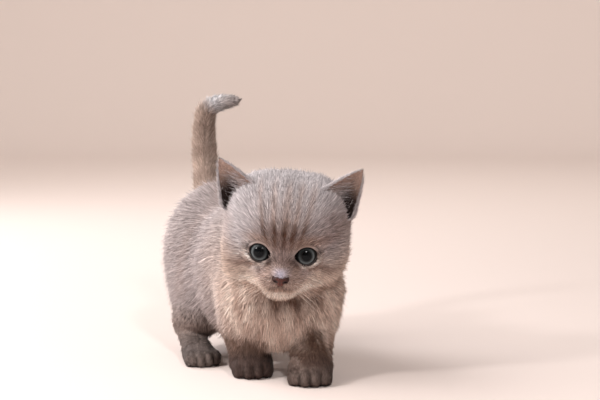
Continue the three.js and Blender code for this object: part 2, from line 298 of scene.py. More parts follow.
@dataclass(frozen=True)
class Carved(Mass):
    """A mass with others cut out of it, with a rounded edge."""

    body: Mass
    cutters: tuple[tuple[Mass, float], ...]

    def distance(self, points: Array) -> Array:
        """The greater of the body's distance and each cutter's turned inside out."""
        near = self.body.distance(points)
        for cutter, width in self.cutters:
            near = -soften(-near, cutter.distance(points), width)
        return near


@dataclass(frozen=True)
class BothSides(Mass):
    """A left-side mass, seen on the right as well."""

    inner: Mass

    def distance(self, points: Array) -> Array:
        """The inner distance of the folded point."""
        return self.inner.distance(folded(points))


@dataclass(frozen=True)
class Placed(Mass):
    """A mass given in local axes."""

    inner: Mass
    axes: Axes

    def distance(self, points: Array) -> Array:
        """The inner distance of the local point."""
        return self.inner.distance(self.axes.inward(points).astype(points.dtype))


# The kitten's shape, out to the tips of its coat or in to its skin


@dataclass(frozen=True)
class Head:
    """Skull, cheeks, jaw and muzzle, in the head's own axes."""

    coat: float = 3.2  # depth of the coat over the skull, in millimetres
    muzzle_coat: float = 0.8
    crown: Ellipsoid = Ellipsoid((0, -3, 4.5), (33, 29.5, 28.5))
    cheek: Ellipsoid = Ellipsoid((16.5, 4, -9), (16.5, 16, 15.5))
    temple: Ellipsoid = Ellipsoid((15, -4, 13), (14, 20, 17))
    ear_base: Ellipsoid = Ellipsoid((27, -8, 14), (8.5, 8, 9))
    forehead: Ellipsoid = Ellipsoid((0, 8, 5), (22, 16, 18))
    jaw: Ellipsoid = Ellipsoid((0, 13, -16), (17, 13, 10))
    snout: Ellipsoid = Ellipsoid((0, 19, -12), (12.5, 11, 9))
    pad: Ellipsoid = Ellipsoid((5.2, 25.0, -15.2), (6.4, 5.8, 5.0))
    bridge: Taper = Taper((0, 17, 3), (0, 28.6, -8.6), 6.2, 4.3)
    chin: Ellipsoid = Ellipsoid((0, 22.6, -20.8), (6.8, 6.0, 4.4))

    def skull(self) -> Mass:
        """Everything but the muzzle."""
        sides = ((BothSides(self.temple), 8), (BothSides(self.ear_base), 5), (BothSides(self.cheek), 9))
        return joined(self.crown, *sides, (self.forehead, 8), (self.jaw, 7))

    def muzzle(self) -> Mass:
        """Snout, whisker pads, bridge of the nose and chin."""
        return joined(self.snout, (BothSides(self.pad), 2.5), (self.bridge, 4), (self.chin, 3))

    def mound(self, extra: float) -> Mass:
        """A ball about each eyeball, larger than it by extra."""
        return BothSides(Ellipsoid(EYE_CENTRE, (EYE_RADIUS + extra,) * 3))

    def outline(self) -> Mass:
        """The head out to the tips of its coat."""
        return Placed(joined(self.skull(), (self.muzzle(), 5), (self.mound(0.9), 3)), HEAD)

    def skin(self) -> Mass:
        """The bare head, with its sockets and mouth cut in.

        Returns:
            The mass, in the kitten's axes.
        """
        bare = joined(
            self.skull().grown(-self.coat),
            (self.muzzle().grown(-self.muzzle_coat), 5),
            (self.mound(0.55), 3.5),
        )
        openings = ((Opening(), 0.5), (self.mound(0.15), 0.3))
        return Placed(Carved(Carved(bare, openings), self.mouth()), HEAD)

    def mouth(self) -> tuple[tuple[Mass, float], ...]:
        """The groove under the nose and the two lines of the lips."""
        groove = Taper((0, 31.6, -13.4), (0, 30.9, -15.4), 0.5, 0.45)
        near = BothSides(Taper((0, 30.7, MOUTH), (4.2, 30.2, -17.4), 0.6, 0.5))
        far = BothSides(Taper((4.2, 30.2, -17.4), (8.6, 26.4, -17.4), 0.5, 0.25))
        return (groove, 0.9), (near, 0.9), (far, 0.8)


def lip_line(side: Array) -> Array:
    """Height of the line between the lips, at a distance to either side of the middle."""
    return MOUTH - LIP_SLOPE * side + LIP_CURVE * side**2


def almond(angle: Array) -> Array:
    """Radius of the eye's opening: 5.1 mm, more at the inner corner and a little at the outer one.

    Args:
        angle: direction in the plane across the gaze, from the outer corner anticlockwise.

    Returns:
        The radius at each angle.
    """
    inner = bump(np.abs(angle), math.pi, math.radians(24)) * 0.9
    outer = bump(np.abs(angle), 0.0, math.radians(24)) * 0.45
    return 5.1 + inner + outer + 0.32 * np.cos(2 * angle)


class EyeAxes:
    """The left eye's own axes within the head's: outward, up and along the gaze."""

    gaze = unit(np.array(EYE_GAZE))
    outward = unit(np.cross(np.array(EYE_GAZE), (0.0, 0.0, 1.0)))
    upward = np.cross(outward, gaze)
    tilt = math.radians(8.0)  # the outer corner sits higher than the inner one
    matrix = np.column_stack(
        [
            outward * math.cos(tilt) + upward * math.sin(tilt),
            upward * math.cos(tilt) - outward * math.sin(tilt),
            gaze,
        ]
    )
    axes = Axes(EYE_CENTRE, matrix)

    @classmethod
    def beside(cls, local: Array) -> tuple[Array, Array]:
        """Points of the head in their own side's eye axes, and how far each is past the lids' edge."""
        eye = cls.axes.inward(folded(local))
        return eye, np.hypot(eye[:, 0], eye[:, 1]) - almond(np.arctan2(eye[:, 1], eye[:, 0]))


@dataclass(frozen=True)
class Opening(Mass):
    """The almond shaft through both lids, widening outwards."""

    flare: float = 0.35

    def distance(self, points: Array) -> Array:
        """Radius across the gaze less the almond's, or the depth behind the eye's centre."""
        local = EyeAxes.axes.inward(folded(points)).astype(points.dtype)
        radius = np.hypot(local[:, 0], local[:, 1])
        edge = almond(np.arctan2(local[:, 1], local[:, 0]))
        edge = edge + np.maximum(local[:, 2] - EYE_RADIUS, 0.0) * self.flare
        return np.maximum(radius - edge, 1.0 - local[:, 2]).astype(points.dtype)


@dataclass(frozen=True)
class Trunk:
    """Chest, barrel, rump and withers."""

    coat: float = 5.0
    chest: Ellipsoid = Ellipsoid((0, 4, 47), (30, 26, 33))
    barrel: Ellipsoid = Ellipsoid((0, 42, 53), (32, 42, 42))
    rump: Ellipsoid = Ellipsoid((-1, 83, 60), (35, 35, 41))
    withers: Ellipsoid = Ellipsoid((-1, 24, 66), (24, 26, 30))

    def outline(self, bare: bool = False) -> Mass:
        """The trunk out to the tips of its coat, or in to the skin."""
        whole = joined(self.chest, (self.barrel, 12), (self.rump, 12), (self.withers, 14))
        return whole.grown(-self.coat if bare else 0.0)


@dataclass(frozen=True)
class Neck:
    """Neck and the ruff below the throat."""

    coat: float = 5.0
    nape: Taper = Taper((-1, 12, 66), (-2, -4, 72), 27, 26)
    ruff: Ellipsoid = Ellipsoid((0, -6, 52), (31, 20, 22))

    def outline(self, bare: bool = False) -> Mass:
        """The neck out to the tips of its coat, or in to the skin."""
        return joined(self.nape, (self.ruff, 8)).grown(-self.coat if bare else 0.0)


@dataclass(frozen=True)
class Limb:
    """A leg down to the wrist or heel: its upper mass, and one or two tapers."""

    upper: Ellipsoid
    tapers: tuple[Taper, ...]
    upper_coat: float
    coat: float
    fillets: tuple[float, ...]

    def outline(self, bare: bool = False) -> Mass:
        """Joins the leg.

        Args:
            bare: whether it is without its coat.

        Returns:
            The leg's mass.
        """
        first = self.upper.grown(-self.upper_coat if bare else 0.0)
        others = [
            (taper.grown(-self.coat if bare else 0.0), width)
            for taper, width in zip(self.tapers, self.fillets)
        ]
        return joined(first, *others)


FORELEG_COAT = {"upper_coat": 4.0, "coat": 1.7, "fillets": (6,)}
HIND_COAT = {"upper_coat": 4.5, "coat": 1.5, "fillets": (7, 5)}

FORELEGS = {
    Side.LEFT: Limb(
        Ellipsoid((20, 0, 44), (12.5, 16, 22)),
        (Taper((16.5, -5, 28), (9.5, -18, 11), 12.5, 10.6),),
        **FORELEG_COAT,
    ),
    Side.RIGHT: Limb(
        Ellipsoid((-20, 8, 43), (12, 16, 22)),
        (Taper((-18, 12, 28), (-15, 12, 11), 12.5, 10.6),),
        **FORELEG_COAT,
    ),
}
HIND_LEGS = {
    Side.LEFT: Limb(
        Ellipsoid((19, 82, 42), (15, 25, 27)),
        (
            Taper((22.5, 86, 28), (22.5, 108, 20), 11.5, 8.2),
            Taper((22.5, 108, 18), (22, 91, 7), 7.8, 7.6),
        ),
        **HIND_COAT,
    ),
    Side.RIGHT: Limb(
        Ellipsoid((-20, 74, 39), (15, 25, 27)),
        (
            Taper((-24.5, 64, 27), (-26, 77, 20), 11.5, 8.2),
            Taper((-26, 77, 18), (-29, 57, 7), 7.8, 7.6),
        ),
        **HIND_COAT,
    ),
}


@dataclass(frozen=True)
class Paw:
    """A paw: its place on the floor, the way it points and its size beside a forepaw's."""

    place: tuple[float, float]
    yaw: float
    size: float
    coat: float = 0.9
    pale: float = 0.45  # how much paler the toes are
    shade: float = 0.0  # how much the whole paw is darkened with painted shade
    toes: tuple[tuple[float, float], ...] = ((-7.6, 5.0), (-2.7, 8.2), (2.7, 8.2), (7.6, 5.0))

    @property
    def axes(self) -> Axes:
        """Left, forward and up at the paw's middle."""
        return Axes((*self.place, 0.0), turn("z", -self.yaw) @ FACING)

    def scaled(self, *sizes: float) -> Vec:
        """Sizes of the model paw at this paw's size."""
        return tuple(size * self.size for size in sizes)

    def sole(self) -> Mass:
        """The paw without its toes."""
        return Ellipsoid(self.scaled(0, -1, 5.5), self.scaled(10.8, 10.5, 6.6))

    def toe(self, place: tuple[float, float]) -> Mass:
        """One toe."""
        return Ellipsoid(self.scaled(*place, 4.4), self.scaled(3.6, 5.2, 5.2))

    def outline(self, bare: bool = False) -> Mass:
        """Joins the paw, with deeper partings between the toes under the coat.

        Args:
            bare: whether it is without its coat.

        Returns:
            The paw's mass.
        """
        depth = self.coat if bare else 0.0
        fillet = 2.4 if bare else 1.6
        toes = [(self.toe(place).grown(-depth * 0.6), fillet) for place in self.toes]
        pad = Ellipsoid(self.scaled(0, 4.5, 3.6), self.scaled(9.8, 7.6, 3.7)).grown(-depth)
        return Placed(joined(self.sole().grown(-depth), (pad, 1.6), *toes), self.axes)

    def toe_line(self, points: Array) -> Array:
        """How far each point lies in a groove between two toes, from 0 to 1."""
        local = self.axes.inward(points) / self.size
        middles = [(a[0] + b[0]) / 2 for a, b in zip(self.toes, self.toes[1:])]
        line = sum(bump(local[:, 0], middle, 0.8) for middle in middles)
        return line * ease(4.0, 9.0, local[:, 1]) * ease(8.5, 5.5, local[:, 2])


PAWS = {
    "fore_left": Paw((6.3, -22.7), 25, 1.07),
    # the fore right paw is darkened with painted shade
    "fore_right": Paw((-14.5, 7.8), 20, 1.0, pale=0.1, shade=0.45),
    "hind_left": Paw((22, 82), 0, 0.92),
    "hind_right": Paw((-29.8, 48), 8, 0.92),
}


@dataclass(frozen=True)
class Tail:
    """The raised tail: knots along its middle and the radius at each, out to the coat's tips."""

    coat: float = 3.0
    knots: tuple[Vec, ...] = (
        (1, 96, 80), (1.5, 113, 92), (2, 120, 106), (1.5, 122, 121),
        (0.8, 120, 134), (1.2, 116.5, 143.5), (6.5, 111.5, 148.5), (15, 104, 150.5),
    )
    radii: tuple[float, ...] = (9.4, 8.4, 7.5, 7.0, 6.3, 5.6, 4.6, 3.0)
    steps: int = 4

    def curve(self) -> tuple[Array, Array]:
        """Runs the middle through the knots by the uniform Catmull-Rom formula.

        Returns:
            Points along the middle, and the radius at each.
        """
        knots = np.array(self.knots, float)
        ends = np.vstack([2 * knots[0] - knots[1], knots, 2 * knots[-1] - knots[-2]])
        t = np.linspace(0, 1, self.steps, endpoint=False)[:, None]
        spans = []
        for a, b, c, d in zip(ends, ends[1:], ends[2:], ends[3:]):
            spans.append(
                0.5 * (2 * b + (c - a) * t + (2 * a - 5 * b + 4 * c - d) * t**2
                       + (3 * b - a - 3 * c + d) * t**3)
            )
        middle = np.vstack([*spans, knots[-1:]])
        place = np.linspace(0, len(knots) - 1, len(middle))
        return middle, np.interp(place, np.arange(len(knots)), self.radii)

    def outline(self, bare: bool = False) -> Mass:
        """Joins tapers along the middle.

        Args:
            bare: whether it is without its coat.

        Returns:
            The tail's mass.
        """
        middle, radii = self.curve()
        taper_in = self.coat * np.interp(np.linspace(0, 1, len(radii)), (0, 0.75, 1), (1.1, 1.0, 0.55))
        radii = radii - taper_in if bare else radii
        tapers = [
            Taper(tuple(a), tuple(b), float(r), float(s))
            for a, b, r, s in zip(middle, middle[1:], radii, radii[1:])
        ]
        return joined(tapers[0], *[(taper, 1.5) for taper in tapers[1:]])

    def lie(self, points: Array) -> tuple[Array, Array]:
        """Finds the nearest point of the tail's middle.

        Args:
            points: places of the kitten.

        Returns:
            The tail's heading there, and how far along it is, from 0 to 1.
        """
        middle, _ = self.curve()
        nearest = np.argmin(((points[:, None, :] - middle[None]) ** 2).sum(-1), axis=1)
        tangent = unit(np.gradient(middle, axis=0))
        return tangent[nearest], nearest / (len(middle) - 1)


class Part(Enum):
    """The parts of the body that carry a coat of their own."""

    HEAD = "head"
    TRUNK = "trunk"
    FORELEG = "foreleg"
    HIND_LEG = "hindleg"
    PAW = "paw"
    TAIL = "tail"


class Kitten:
    """The whole body: its outline at the coat's tips, its skin, and which part a point is on."""

    def __init__(self) -> None:
        """Makes the parts."""
        self.head, self.trunk, self.neck, self.tail = Head(), Trunk(), Neck(), Tail()
        self.outline = self._assemble(bare=False)
        self.skin = self._assemble(bare=True)

    def _assemble(self, bare: bool) -> Mass:
        """Runs the parts together.

        Args:
            bare: whether it is without its coat.

        Returns:
            The whole body's mass.
        """
        limbs = [(leg.outline(bare), 9) for leg in (*FORELEGS.values(), *HIND_LEGS.values())]
        paws = [(paw.outline(bare), 8 if bare else 5.5) for paw in PAWS.values()]
        neck, tail = (self.neck.outline(bare), 14), (self.tail.outline(bare), 6)
        head = self.head.skin() if bare else self.head.outline()
        return joined(self.trunk.outline(bare), neck, *limbs, *paws, tail, (head, 7))

    def parts(self, points: Array) -> tuple[Array, list[Part]]:
        """Which part's skin each point is on.

        Args:
            points: places on the skin.

        Returns:
            An index for each point, and the parts that the indices stand for.
        """
        kinds = {
            Part.HEAD: [self.head.skin()],
            Part.TRUNK: [self.trunk.outline(True), self.neck.outline(True)],
            Part.FORELEG: [leg.outline(True) for leg in FORELEGS.values()],
            Part.HIND_LEG: [leg.outline(True) for leg in HIND_LEGS.values()],
            Part.PAW: [paw.outline(True) for paw in PAWS.values()],
            Part.TAIL: [self.tail.outline(True)],
        }
        gaps = [np.min([mass.distance(points) for mass in masses], axis=0) for masses in kinds.values()]
        return np.argmin(gaps, axis=0), list(kinds)


# Meshing


@dataclass(frozen=True)
class Box:
    """A box with the spacing of the grid inside it."""

    low: Vec
    high: Vec
    step: float


CELL = tuple(product((0, 1), repeat=3))  # the corners of a grid cell


@dataclass(frozen=True)
class SurfaceNets:
    """Turns a mass into quads on a grid that is finer within one box."""

    room: Box
    fine: Box | None = None
    stride: int = 4  # samples in a block, which is skipped where it is far from the surface
    settle: int = 3  # steps that bring the corners onto the surface
    caution: float = 0.9  # share of a block's diagonal that counts as near
    margin: float = 1.5  # and millimetres on top of it
    batch: int = 400_000  # samples worked out at a time

    def _axis(self, index: int) -> Array:
        """Spaces the grid's planes along one axis.

        Args:
            index: 0, 1 or 2.

        Returns:
            Their coordinates.
        """
        low, high, step = self.room.low[index], self.room.high[index], self.room.step
        if self.fine is None:
            return np.linspace(low, high, max(2, math.ceil((high - low) / step) + 1))
        start, stop = max(low, self.fine.low[index]), min(high, self.fine.high[index])
        runs = [(low, start, step), (start, stop, self.fine.step), (stop, high, step)]
        pieces = [
            np.linspace(a, b, max(1, math.ceil((b - a) / gap)), endpoint=False)
            for a, b, gap in runs if b - a > 1e-6
        ]
        return np.concatenate([*pieces, [high]])

    def _samples(self, mass: Mass, axes: list[Array]) -> Array:
        """Samples the distance, exactly near the surface and by blocks elsewhere.

        Args:
            mass: the solid.
            axes: the grid's coordinates along each axis.

        Returns:
            A value for each point of the grid.
        """
        counts = [len(axis) for axis in axes]
        starts = [axis[:: self.stride] for axis in axes]
        ends = [axis[np.minimum(np.arange(0, n, self.stride) + self.stride, n - 1)]
                for axis, n in zip(axes, counts)]
        middles = np.meshgrid(*[(a + b) / 2 for a, b in zip(starts, ends)], indexing="ij")
        spans = np.meshgrid(*[b - a for a, b in zip(starts, ends)], indexing="ij")
        rough = mass.distance(np.stack(middles, -1).reshape(-1, 3).astype(np.float32))
        rough = rough.reshape(middles[0].shape)
        near = np.abs(rough) < np.sqrt(sum(span**2 for span in spans)) * self.caution + self.margin
        for axis, count in enumerate(counts):
            rough = np.repeat(rough, self.stride, axis).take(np.arange(count), axis)
            near = np.repeat(near, self.stride, axis).take(np.arange(count), axis)
        where = np.nonzero(near)
        spots = np.column_stack([axis[i] for axis, i in zip(axes, where)]).astype(np.float32)
        values = rough.astype(np.float32)
        starts = range(0, len(spots), self.batch)
        values[where] = np.concatenate([mass.distance(spots[i : i + self.batch]) for i in starts])
        return values

    def build(self, mass: Mass) -> tuple[Array, Array]:
        """One corner in each cell that the surface crosses, and one quad for each crossed edge.

        Args:
            mass: the solid to mesh.

        Returns:
            Corners in millimetres, and quads as rows of four corner numbers.
        """
        axes = [self._axis(index) for index in range(3)]
        values = self._samples(mass, axes)
        inside = values < 0
        filled = sum(
            inside[tuple(slice(c, n - 1 + c) for c, n in zip(corner, inside.shape))].astype(np.int8)
            for corner in CELL
        )
        active = (filled > 0) & (filled < len(CELL))
        number = np.full(active.shape, -1)
        cells = np.argwhere(active)
        number[active] = np.arange(len(cells))
        points = self._middles(values, cells, axes)
        quads = np.concatenate([self._faces(inside, number, axis) for axis in range(3)])
        for _ in range(self.settle):
            points = points - mass.distance(points)[:, None] * slope(mass, points)
        return points, quads

    @staticmethod
    def _middles(values: Array, cells: Array, axes: list[Array]) -> Array:
        """Averages the places where the surface crosses a cell's edges.

        Args:
            values: the distance at each point of the grid.
            cells: the crossed cells' places in the grid.
            axes: the grid's coordinates along each axis.

        Returns:
            A point for each cell.
        """
        total, crossings = np.zeros((len(cells), 3)), np.zeros(len(cells))
        for corner, axis in product(CELL, range(3)):
            if corner[axis]:
                continue
            other = tuple(1 if i == axis else c for i, c in enumerate(corner))
            a = values[tuple((cells + corner).T)].astype(float)
            b = values[tuple((cells + other).T)].astype(float)
            crossed = (a < 0) != (b < 0)
            spot = np.tile(np.array(corner, float), (len(cells), 1))
            spot[:, axis] += a / np.where(crossed, a - b, 1.0)
            total[crossed] += spot[crossed]
            crossings += crossed
        share = total / crossings[:, None]
        return np.column_stack(
            [axis[c] + s * (axis[c + 1] - axis[c]) for axis, c, s in zip(axes, cells.T, share.T)]
        )

    @staticmethod
    def _faces(inside: Array, number: Array, axis: int) -> Array:
        """Joins the cells across the grid edges that run along one axis.

        Args:
            inside: whether each point of the grid is in the mass.
            number: each cell's corner number.
            axis: 0, 1 or 2.

        Returns:
            Quads, wound to face outwards.
        """
        after, last = (axis + 1) % 3, (axis + 2) % 3
        count = inside.shape
        here = [slice(None)] * 3
        there = [slice(None)] * 3
        here[axis], there[axis] = slice(0, count[axis] - 1), slice(1, count[axis])
        edges = np.argwhere(inside[tuple(here)] != inside[tuple(there)])
        free = [(edges[:, i] > 0) & (edges[:, i] < count[i] - 1) for i in (after, last)]
        edges = edges[free[0] & free[1]]

        def cell(back: int, down: int) -> Array:
            """Corner numbers of the cells beside the edges."""
            place = edges.copy()
            place[:, after] -= back
            place[:, last] -= down
            return number[tuple(place.T)]

        quads = np.column_stack([cell(1, 1), cell(0, 1), cell(0, 0), cell(1, 0)])
        outward = inside[tuple(edges.T)]
        quads[~outward] = quads[~outward][:, ::-1]
        return quads


def slope(mass: Mass, points: Array, reach: float = 0.04) -> Array:
    """Unit directions in which the distance rises fastest, from four points of a tetrahedron."""
    corners = np.array([(1, 1, 1), (1, -1, -1), (-1, 1, -1), (-1, -1, 1)], float)
    rise = sum(mass.distance(points + corner * reach)[:, None] * corner for corner in corners)
    return unit(rise)


def corner_normals(points: Array, faces: Array) -> Array:
    """Adds up the normals of the faces around each corner.

    Args:
        points: the corners.
        faces: corner numbers, one face in a row.

    Returns:
        Unit normals at the corners.
    """
    across = np.cross(points[faces[:, 2]] - points[faces[:, 0]], points[faces[:, -1]] - points[faces[:, 1]])
    total = np.zeros_like(points)
    for column in faces.T:
        for axis in range(3):
            total[:, axis] += np.bincount(column, across[:, axis], len(points))
    return unit(total)


# Materials


class Socket:
    """A node's output that Python arithmetic can be written on."""

    def __init__(self, sheet: Sheet, socket: bpy.types.NodeSocket) -> None:
        """Keeps the socket and the sheet that new nodes go on."""
        self.sheet = sheet
        self.socket = socket

    def _math(self, operation: str, *values: Socket | float) -> Socket:
        """A Math node."""
        return self.sheet.node("ShaderNodeMath", {"operation": operation}, dict(enumerate(values)))

    def __add__(self, other: Socket | float) -> Socket:
        """Sum."""
        return self._math("ADD", self, other)

    def __sub__(self, other: Socket | float) -> Socket:
        """Difference."""
        return self._math("SUBTRACT", self, other)

    def __rsub__(self, other: float) -> Socket:
        """Difference from a number."""
        return self._math("SUBTRACT", other, self)

    def __mul__(self, other: Socket | float) -> Socket:
        """Product."""
        return self._math("MULTIPLY", self, other)

    __radd__ = __add__
    __rmul__ = __mul__


class Sheet:
    """A material's nodes."""

    def __init__(self, name: str) -> None:
        """An empty material of that name with its shader."""
        self.material = bpy.data.materials.new(name)
        self.material.use_nodes = True
        self.tree = self.material.node_tree
        self.shader = self.tree.nodes["Principled BSDF"]

    def node(
        self, kind: str, settings: dict | None = None, values: dict | None = None, output: int | str = 0
    ) -> Socket:
        """Adds a node.

        Args:
            kind: the node's type.
            settings: its own settings; a list under "stops" goes to its colour ramp.
            values: numbers, tuples or sockets by input name or number.
            output: the output that is wanted.

        Returns:
            That output.
        """
        made = self.tree.nodes.new(kind)
        for key, value in (settings or {}).items():
            if key == "stops":
                self._ramp(made, value)
            else:
                setattr(made, key, value)
        for key, value in (values or {}).items():
            self._feed(made.inputs[key], value)
        return Socket(self, made.outputs[output])

    @staticmethod
    def _ramp(made: bpy.types.Node, stops: Sequence[tuple[float, Vec]]) -> None:
        """Sets a ramp's stops."""
        elements = made.color_ramp.elements
        while len(elements) < len(stops):
            elements.new(1.0)
        for element, (place, colour) in zip(elements, stops):
            element.position = place
            element.color = (*colour, 1.0)

    def _feed(self, target: bpy.types.NodeSocket, value: Socket | float | Vec) -> None:
        """Links or sets an input."""
        if isinstance(value, Socket):
            self.tree.links.new(value.socket, target)
        else:
            target.default_value = value

    def dress(self, **inputs: Socket | float | Vec) -> Material:
        """Sets the shader's inputs, with words_joined for "Words Joined".

        Args:
            inputs: numbers, colours or sockets.

        Returns:
            The material.
        """
        for key, value in inputs.items():
            if isinstance(value, tuple) and len(value) == 3:
                value = (*value, 1.0)
            self._feed(self.shader.inputs[key.replace("_", " ").title().replace("Ior", "IOR")], value)
        return self.material

    def relief(self, height: Socket, depth: float) -> Socket:
        """A Bump node's normal, for a height from 0 to 1 that stands for a depth in metres."""
        return self.node("ShaderNodeBump", {}, {"Strength": 1.0, "Distance": depth, "Height": height})

    def coat_colour(self) -> Socket:
        """The colour that the mesh carries."""
        return self.node("ShaderNodeVertexColor", {"layer_name": "coat"})

    def carried(self, name: str, output: str = "Fac") -> Socket:
        """Another value that the mesh carries."""
        return self.node("ShaderNodeAttribute", {"attribute_name": name}, output=output)

    def place(self) -> Socket:
        """Object coordinates."""
        return self.node("ShaderNodeTexCoord", output="Object")


@dataclass(frozen=True)
class CoatFinish:
    """Hair that takes its colour from the mesh's coat attribute."""

    name: str
    roughness: float = 0.62
    sheen: float = 0.05
    specular: float = 0.12

    def material(self) -> Material:
        """The finished material."""
        sheet = Sheet(self.name)
        return sheet.dress(
            base_color=sheet.coat_colour(), roughness=self.roughness, sheen_weight=self.sheen,
            specular_ior_level=self.specular,
        )


@dataclass(frozen=True)
class SkinFinish:
    """Skin under the coat: the coat's colour with a fine nap."""

    name: str = "skin"
    roughness: float = 0.75
    nap: float = 0.0004  # height of the nap in metres
    grain: float = 2600.0  # naps in a metre
    specular: float = 0.2

    def material(self) -> Material:
        """The finished material."""
        sheet = Sheet(self.name)
        grain = {"Vector": sheet.place(), "Scale": self.grain, "Detail": 2.0}
        noise = sheet.node("ShaderNodeTexNoise", {}, grain)
        return sheet.dress(
            base_color=sheet.coat_colour(), roughness=self.roughness, specular_ior_level=self.specular,
            normal=sheet.relief(noise, self.nap),
        )


@dataclass(frozen=True)
class EyeFinish:
    """Iris and pupil by the distance from the gaze, darkened towards the top by a painted lid shadow, under
    a clear coat.
    """

    name: str = "eye"
    stops: tuple[tuple[float, Vec], ...] = (
        (0.00, (0.003, 0.004, 0.005)),
        (0.325, (0.003, 0.004, 0.005)),
        (0.375, (0.022, 0.024, 0.025)),
        (0.44, (0.05, 0.058, 0.062)),
        (0.52, (0.098, 0.114, 0.12)),
        (0.58, (0.036, 0.04, 0.041)),
        (0.635, (0.008, 0.008, 0.008)),
        (1.0, (0.015, 0.011, 0.01)),
    )
    reach: float = 7.4  # millimetres from the gaze at the ramp's far end
    fibres: float = 5.0  # fineness of the iris's fibres
    waver: float = 0.045  # how far the fibres shift the rings, over the reach
    roughness: float = 0.35
    wetness: float = 0.22  # weight of the clear coat
    wet_roughness: float = 0.05

    def material(self) -> Material:
        """The finished material."""
        sheet = Sheet(self.name)
        ray = {"Vector": sheet.carried("ray", "Vector"), "Scale": self.fibres, "Detail": 2.0}
        fibre = sheet.node("ShaderNodeTexNoise", {}, ray)
        ring = sheet.carried("ring") * (1.0 / self.reach) + (fibre - 0.5) * self.waver
        colour = sheet.node("ShaderNodeValToRGB", {"stops": self.stops}, {0: ring})
        # the carried shade is a painted shadow of the upper lid, multiplied into the iris's colour
        shade = {0: colour, "Scale": sheet.carried("shade")}
        return sheet.dress(
            base_color=sheet.node("ShaderNodeVectorMath", {"operation": "SCALE"}, shade),
            roughness=self.roughness, coat_weight=self.wetness, coat_roughness=self.wet_roughness,
            specular_ior_level=0.0,
        )


@dataclass(frozen=True)
class LeatherFinish:
    """Bare moist leather: nose and lids."""

    name: str = "leather"
    roughness: float = 0.42
    grain: float = 2400.0  # cells in a metre
    depth: float = 0.00012  # how deep they are, in metres
    specular: float = 0.3

    def material(self) -> Material:
        """The finished material."""
        sheet = Sheet(self.name)
        cells = sheet.node("ShaderNodeTexVoronoi", {}, {"Vector": sheet.place(), "Scale": self.grain})
        return sheet.dress(
            base_color=sheet.coat_colour(), roughness=self.roughness, specular_ior_level=self.specular,
            normal=sheet.relief(cells, self.depth),
        )


# Pieces


@dataclass
class Shell:
    """A mesh on its way to Blender: corners in millimetres, faces, and what each corner carries."""

    name: str
    points: Array
    faces: Array
    colour: Array | None = None
    normals: Array | None = None
    patch: Array | None = None  # UV places of each face's corners, for the map "OFBake"
    values: dict[str, Array] = field(default_factory=dict)

    def turned_out(self) -> Shell:
        """Turns every face over where the closed shell's volume comes out negative.

        Returns:
            The shell itself.
        """
        a, b, c = (self.points[self.faces[:, i]] for i in (0, 1, 2))
        volume = dot(a, np.cross(b, c)).sum()
        if self.faces.shape[1] == 4:
            volume += dot(a, np.cross(c, self.points[self.faces[:, 3]])).sum()
        if volume < 0:
            self.faces = self.faces[:, ::-1]
        return self

    def form(self, material: Material) -> bpy.types.Object:
        """Makes the object, in metres, shaded smooth.

        Args:
            material: its finish.

        Returns:
            The object, not yet on the body.
        """
        mesh = bpy.data.meshes.new(self.name)
        places = ((self.points + np.array(FRAME_SHIFT)) * MM).astype(np.float32)
        size = self.faces.shape[1]
        mesh.vertices.add(len(places))
        mesh.vertices.foreach_set("co", places.ravel())
        mesh.loops.add(self.faces.size)
        mesh.loops.foreach_set("vertex_index", self.faces.ravel().astype(np.int32))
        mesh.polygons.add(len(self.faces))
        mesh.polygons.foreach_set("loop_start", np.arange(0, self.faces.size, size, dtype=np.int32))
        mesh.update(calc_edges=True)
        mesh.polygons.foreach_set("use_smooth", np.full(len(self.faces), True))
        self._load(mesh)
        mesh.materials.append(material)
        made = bpy.data.objects.new(self.name, mesh)
        bpy.context.scene.collection.objects.link(made)
        LOG.info("%s: %d corners, %d faces", self.name, len(places), len(self.faces))
        return made

    def _load(self, mesh: bpy.types.Mesh) -> None:
        """Gives the mesh what its corners carry.

        Args:
            mesh: the mesh, with its faces in place.
        """
        if self.colour is not None:
            layer = mesh.color_attributes.new("coat", "FLOAT_COLOR", "POINT")
            rgba = np.column_stack([self.colour, np.ones(len(self.colour))]).astype(np.float32)
            layer.data.foreach_set("color", rgba.ravel())
        for key, value in self.values.items():
            kind = "FLOAT" if value.ndim == 1 else "FLOAT_VECTOR"
            data = mesh.attributes.new(key, kind, "POINT").data
            data.foreach_set("value" if value.ndim == 1 else "vector", value.astype(np.float32).ravel())
        if self.patch is not None:
            uv = mesh.uv_layers.new(name="OFBake")
            uv.data.foreach_set("uv", self.patch.astype(np.float32).ravel())
        if self.normals is not None:
            mesh.normals_split_custom_set_from_vertices(self.normals.astype(np.float32))

    def make(self, material: Material, slot: str) -> bpy.types.Object:
        """Makes the object and sets it on the body.

        Args:
            material: its finish.
            slot: not used.

        Returns:
            The piece.
        """
        made = self.form(material)
        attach(made, "root")
        return made


def lathe_grid(rows: int, columns: int) -> Array:
    """Quads between rows of corners that each close into a ring.

    Args:
        rows: how many rings.
        columns: how many corners in each.

    Returns:
        Corner numbers, four in a row.
    """
    row, column = np.meshgrid(np.arange(rows - 1), np.arange(columns), indexing="ij")
    after = (column + 1) % columns
    corners = (row * columns + column, row * columns + after, (row + 1) * columns + after,
               (row + 1) * columns + column)
    return np.stack(corners, -1).reshape(-1, 4)


